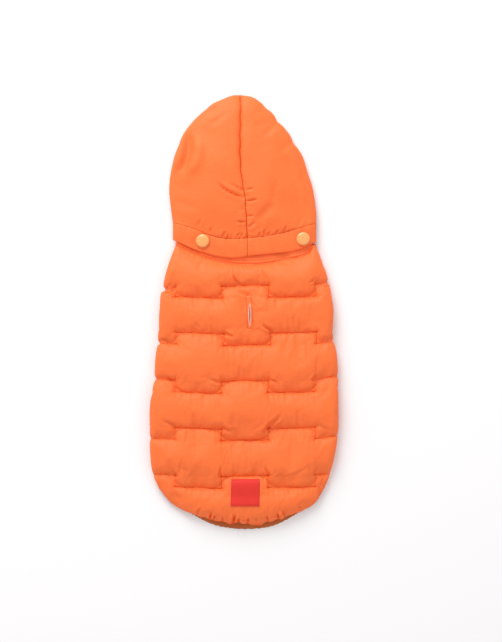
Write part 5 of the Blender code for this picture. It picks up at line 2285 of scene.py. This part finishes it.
def scaled_noise(tree: NodeTree, vector: Socket, scale: object, detail: float) -> Socket:
    """Noise of about -0.5 to 0.5.

    Args:
        tree, vector: Where it goes and the place that it reads.
        scale, detail: Its scale, a socket or a number, and its detail.

    Returns:
        Its output.
    """
    noise = tree.nodes.new("ShaderNodeTexNoise")
    noise.inputs["Detail"].default_value = detail
    tree.links.new(vector, noise.inputs["Vector"])
    if isinstance(scale, Socket):
        tree.links.new(scale, noise.inputs["Scale"])
    else:
        noise.inputs["Scale"].default_value = scale
    return math_node(tree, "SUBTRACT", noise.outputs["Fac"], 0.5)


def weave_group() -> NodeTree:
    """Plain weave and small rumples of thin cloth.

    Its height is the weave, sin(2 pi u / t) sin(2 pi v / t) of the thread pitch t, plus two sizes
    of noise for rumples. Its mottle is a slow noise for uneven dye."""
    number, vector = "NodeSocketFloat", "NodeSocketVector"
    inputs = {"Flat": vector, "Place": vector} | dict.fromkeys(WEAVE_SIZES, number)
    group = new_group("Woven cloth", inputs, {"Height": number, "Mottle": number})
    source, sink = group.nodes["In"], group.nodes["Out"]
    split = group.nodes.new("ShaderNodeSeparateXYZ")
    group.links.new(source.outputs["Flat"], split.inputs[0])
    turns = math_node(group, "DIVIDE", 2 * math.pi, source.outputs["Thread Pitch"])
    warp = math_node(group, "SINE", math_node(group, "MULTIPLY", split.outputs[0], turns))
    weft = math_node(group, "SINE", math_node(group, "MULTIPLY", split.outputs[1], turns))
    weave = math_node(group, "MULTIPLY", warp, weft)
    weave = math_node(group, "MULTIPLY", weave, source.outputs["Weave Height"])
    scale = math_node(group, "DIVIDE", 1.0, source.outputs["Rumple Size"])
    place = source.outputs["Place"]
    rumple = scaled_noise(group, place, scale, 2.0)
    fine = scaled_noise(group, place, math_node(group, "MULTIPLY", scale, FINE_RUMPLE_SCALE), 1.0)
    rumple = math_node(group, "MULTIPLY_ADD", fine, FINE_RUMPLE_SHARE, rumple)
    height = math_node(group, "MULTIPLY_ADD", rumple, source.outputs["Rumple Height"], weave)
    group.links.new(height, sink.inputs["Height"])
    group.links.new(scaled_noise(group, place, MOTTLE_SCALE, 3.0), sink.inputs["Mottle"])
    return group


def shader_material(name: str, **values: object) -> Material:
    """New material whose shader has the values given, under its sockets' names.

    Args:
        name: Name of the material.
        values: Value of each socket, with underscores for the blanks in its name.

    Returns:
        The material.
    """
    material = bpy.data.materials.new(name)
    material.use_nodes = True
    shader = material.node_tree.nodes["Principled BSDF"]
    for socket, value in values.items():
        shader.inputs[socket.replace("_", " ")].default_value = value
    return material


def uneven(
    material: Material, height: Socket, mottle: Socket, colour: Colour, other: Colour
) -> Material:
    """Gives a material its relief and its two mixed colours.

    Args:
        material: The material.
        height: Height of the relief.
        mottle: Noise of about -0.5 to 0.5 that mixes the colours.
        colour: Colour at the lowest noise.
        other: Colour at the highest.

    Returns:
        The same material.
    """
    tree = material.node_tree
    shader = tree.nodes["Principled BSDF"]
    bump = tree.nodes.new("ShaderNodeBump")
    bump.inputs["Distance"].default_value = 1.0
    tree.links.new(height, bump.inputs["Height"])
    tree.links.new(bump.outputs["Normal"], shader.inputs["Normal"])
    mix = tree.nodes.new("ShaderNodeMix")
    mix.data_type = "RGBA"
    mix.inputs["A"].default_value = (*colour, 1)
    mix.inputs["B"].default_value = (*other, 1)
    tree.links.new(math_node(tree, "ADD", mottle, 0.5), mix.inputs["Factor"])
    tree.links.new(mix.outputs["Result"], shader.inputs["Base Color"])
    return material


@dataclass(frozen=True)
class ClothFinish:
    """Finish of a woven cloth.

    Attributes:
        name: Name of the material.
        colour: Colour of the dye, as linear RGB.
        worn: Colour that the uneven dye goes to.
        roughness, sheen: Roughness, and weight of the soft sheen.
        thread_pitch, weave_height: Distance between two threads, and height of the weave.
        rumple_size, rumple_height: Size and height of the small rumples.
    """

    name: str
    colour: Colour
    worn: Colour
    roughness: float = 0.5
    sheen: float = 0.15
    thread_pitch: float = 0.0005
    weave_height: float = 0.00002
    rumple_size: float = 0.006
    rumple_height: float = 0.0004

    def material(self, weave: NodeTree) -> Material:
        """Makes the material.

        Args:
            weave: The woven cloth's node group.

        Returns:
            The material.
        """
        material = shader_material(
            self.name,
            Roughness=self.roughness,
            Sheen_Weight=self.sheen,
            Sheen_Roughness=0.45,
            Sheen_Tint=(*self.colour, 1),
            Specular_IOR_Level=0.24,
        )
        tree = material.node_tree
        flat = tree.nodes.new("ShaderNodeUVMap")
        flat.uv_map = UV_NAME
        place = tree.nodes.new("ShaderNodeTexCoord")
        effect = tree.nodes.new("ShaderNodeGroup")
        effect.node_tree = weave
        for size in WEAVE_SIZES:
            effect.inputs[size].default_value = getattr(self, size.lower().replace(" ", "_"))
        tree.links.new(flat.outputs["UV"], effect.inputs["Flat"])
        tree.links.new(place.outputs["Object"], effect.inputs["Place"])
        height, mottle = effect.outputs["Height"], effect.outputs["Mottle"]
        return uneven(material, height, mottle, self.colour, self.worn)


@dataclass(frozen=True)
class SmoothFinish:
    """Finish of a smooth moulded or twisted piece.

    Attributes:
        name: Name of the material.
        colour, shade: Its colour as linear RGB, and that of its uneven places.
        roughness, coat: Roughness, and weight of the glossy skin.
        grain, relief: Size and height of the uneven places.
    """

    name: str
    colour: Colour
    shade: Colour
    roughness: float
    coat: float
    grain: float = 0.002
    relief: float = 0.00002

    def material(self) -> Material:
        """Makes the material."""
        material = shader_material(
            self.name, Roughness=self.roughness, Coat_Weight=self.coat, Coat_Roughness=0.15
        )
        tree = material.node_tree
        place = tree.nodes.new("ShaderNodeTexCoord").outputs["Object"]
        noise = scaled_noise(tree, place, 1 / self.grain, 2.0)
        height = math_node(tree, "MULTIPLY", noise, self.relief)
        return uneven(material, height, noise, self.colour, self.shade)


SHELL = ClothFinish("Orange taffeta", (0.93, 0.172, 0.04), (0.91, 0.156, 0.035))
# Both colours are darker than the elastic's own, partly as painted shade for the shadowed edge along the
# hem.
ELASTIC_WITH_PAINTED_HEM_SHADE = ClothFinish(
    "Dark orange elastic with painted hem shade",
    (0.56, 0.145, 0.032),
    (0.34, 0.072, 0.016),
    roughness=0.7,
    thread_pitch=0.0009,
    weave_height=0.00006,
    rumple_size=0.003,
)
SATIN = ClothFinish(
    "Red woven satin",
    (0.78, 0.034, 0.02),
    (0.62, 0.024, 0.018),
    roughness=0.42,
    thread_pitch=0.0007,
    weave_height=0.00004,
    rumple_size=0.008,
    rumple_height=0.0002,
)
TAPE = ClothFinish(
    "Pale pink tape",
    (0.86, 0.6, 0.52),
    (0.8, 0.5, 0.42),
    roughness=0.6,
    thread_pitch=0.0004,
    rumple_size=0.002,
    rumple_height=0.0001,
)
SNAP_PLASTIC = SmoothFinish("Pale orange acetal", (0.9, 0.375, 0.118), (0.86, 0.305, 0.08), 0.32, 0.35)
# The orange thread is darker than the shell partly as painted shade: its stitches also stand in for the
# shade in the narrow seam grooves.
ORANGE_THREAD_WITH_PAINTED_SEAM_SHADE = SmoothFinish("Orange thread with painted seam shade", (0.74, 0.098, 0.022), (0.64, 0.076, 0.016), 0.6, 0.0, 0.0006)
RED_THREAD = SmoothFinish("Red thread", (0.38, 0.012, 0.01), (0.28, 0.008, 0.008), 0.6, 0.0, 0.0006)


# ---- studio


@dataclass(frozen=True)
class Studio:
    """Pale floor, soft light and a camera straight above.

    Attributes:
        centre, width: Middle and width of the ground that the picture covers.
        shape: Height of the picture over its width.
        distance: Height of the camera.
        subject_height: Height at which the width is measured.
        sky, sky_colour: Brightness and colour of the surroundings.
        key_power, key_size, key_place: Watts, width and place of the soft light.
    """

    centre: Pair = (0.0068, -0.0092)
    width: float = 0.527
    shape: float = 1.2789
    distance: float = 2.2
    subject_height: float = 0.012
    sky: float = 0.86
    sky_colour: Colour = (1.0, 0.995, 0.99)
    key_power: float = 26.0
    key_size: float = 1.1
    key_place: tuple[float, float, float] = (-0.5, 1.45, 1.00)
    floor_reach: float = 4.0
    floor_depth: float = 0.0004

    def build(self) -> None:
        """Makes the floor, the world, the light and the camera."""
        scene = bpy.context.scene
        scene.view_settings.view_transform = "Standard"
        self.make_floor()
        world = bpy.data.worlds.new("Pale room")
        world.use_nodes = True
        background = world.node_tree.nodes["Background"]
        background.inputs["Color"].default_value = (*self.sky_colour, 1)
        background.inputs["Strength"].default_value = self.sky
        scene.world = world
        light = bpy.data.lights.new("Key", "AREA")
        light.shape = "DISK"
        light.size = self.key_size
        light.energy = self.key_power
        lamp = bpy.data.objects.new("Key", light)
        lamp.location = self.key_place
        x, y, z = self.key_place
        lamp.rotation_euler = (math.atan2(math.hypot(x, y), z), 0, math.atan2(-y, -x) - math.pi / 2)
        scene.collection.objects.link(lamp)
        data = bpy.data.cameras.new("Camera")
        height = self.width * self.shape
        data.lens = data.sensor_width * (self.distance - self.subject_height) / height
        camera = bpy.data.objects.new("Camera", data)
        camera.location = (*self.centre, self.distance)
        scene.collection.objects.link(camera)
        scene.camera = camera

    def make_floor(self) -> None:
        """Makes the floor, a large pale plane just under the coat."""
        corners = np.array([[-1, -1], [1, -1], [1, 1], [-1, 1]]) * self.floor_reach
        points = stacked(corners[:, 0], corners[:, 1], -self.floor_depth)
        mesh = bpy.data.meshes.new("Floor")
        mesh.from_pydata(points, [], [(0, 1, 2, 3)])
        board = {"Base_Color": (0.87, 0.86, 0.87, 1), "Roughness": 0.9, "Specular_IOR_Level": 0.1}
        mesh.materials.append(shader_material("Pale board", **board))
        floor = bpy.data.objects.new("Floor", mesh)
        bpy.context.scene.collection.objects.link(floor)


def build_coat(shell: Material, weave: NodeTree) -> None:
    """Builds every piece of the coat, and the stitches that hold it.

    Args:
        shell, weave: Material of the coat's cloth, and the weave's node group.
    """
    # The elastic's dark colours are partly painted shade along the hem.
    elastic = ELASTIC_WITH_PAINTED_HEM_SHADE.material(weave)
    plastic = SNAP_PLASTIC.material()
    # Stitch thread, darkened partly as painted shade of the seam grooves.
    thread = ORANGE_THREAD_WITH_PAINTED_SEAM_SHADE.material()
    back = BackPanel()
    _, sheet = back.build(shell)
    surface = back.surface(sheet)
    slit, label, collar = LeashSlit(), Label(), Collar()
    slit.build(surface, TAPE.material(weave))
    label.build(surface, SATIN.material(weave))
    collar.build(shell)
    BellyPanel().build(shell)
    HemBand().build(elastic)
    for side in Side:
        HoodHalf(side).build(shell)
        band = BandHalf(side)
        band.build(shell)
        SnapCap(side, tilt=LEFT_SNAP_TILT if side is Side.LEFT else 0.0).build(band, plastic)
        LegBinding(side).build(elastic)
        bpy.data.objects["snap_socket_" + side.label].data.materials.clear()
        bpy.data.objects["snap_socket_" + side.label].data.materials.append(plastic)
    Stitching("quilting_stitches").build(quilting_lines(back, sheet), "shell_cloth", thread)
    sewn = [collar.sewn_line(line) for line in collar.sewn]
    Stitching("collar_stitches").build(sewn, "shell_cloth", thread)
    fine = Stitching("slit_stitches", length=0.0017, gap=0.0006, radius=0.00019)
    fine.build([slit.sewn_line(surface)], "shell_cloth", thread)
    edging = Stitching("patch_stitches", length=0.0013, gap=0.0005, radius=0.00014)
    edging.build([label.sewn_line(surface)], "label_cloth", RED_THREAD.material())


def main() -> None:
    """Builds the coat piece by piece, then the studio."""
    logging.basicConfig(level=logging.INFO, format="%(name)s: %(message)s")
    weave = weave_group()
    build_coat(SHELL.material(weave), weave)
    Studio().build()


if __name__ == "__main__":
    main()
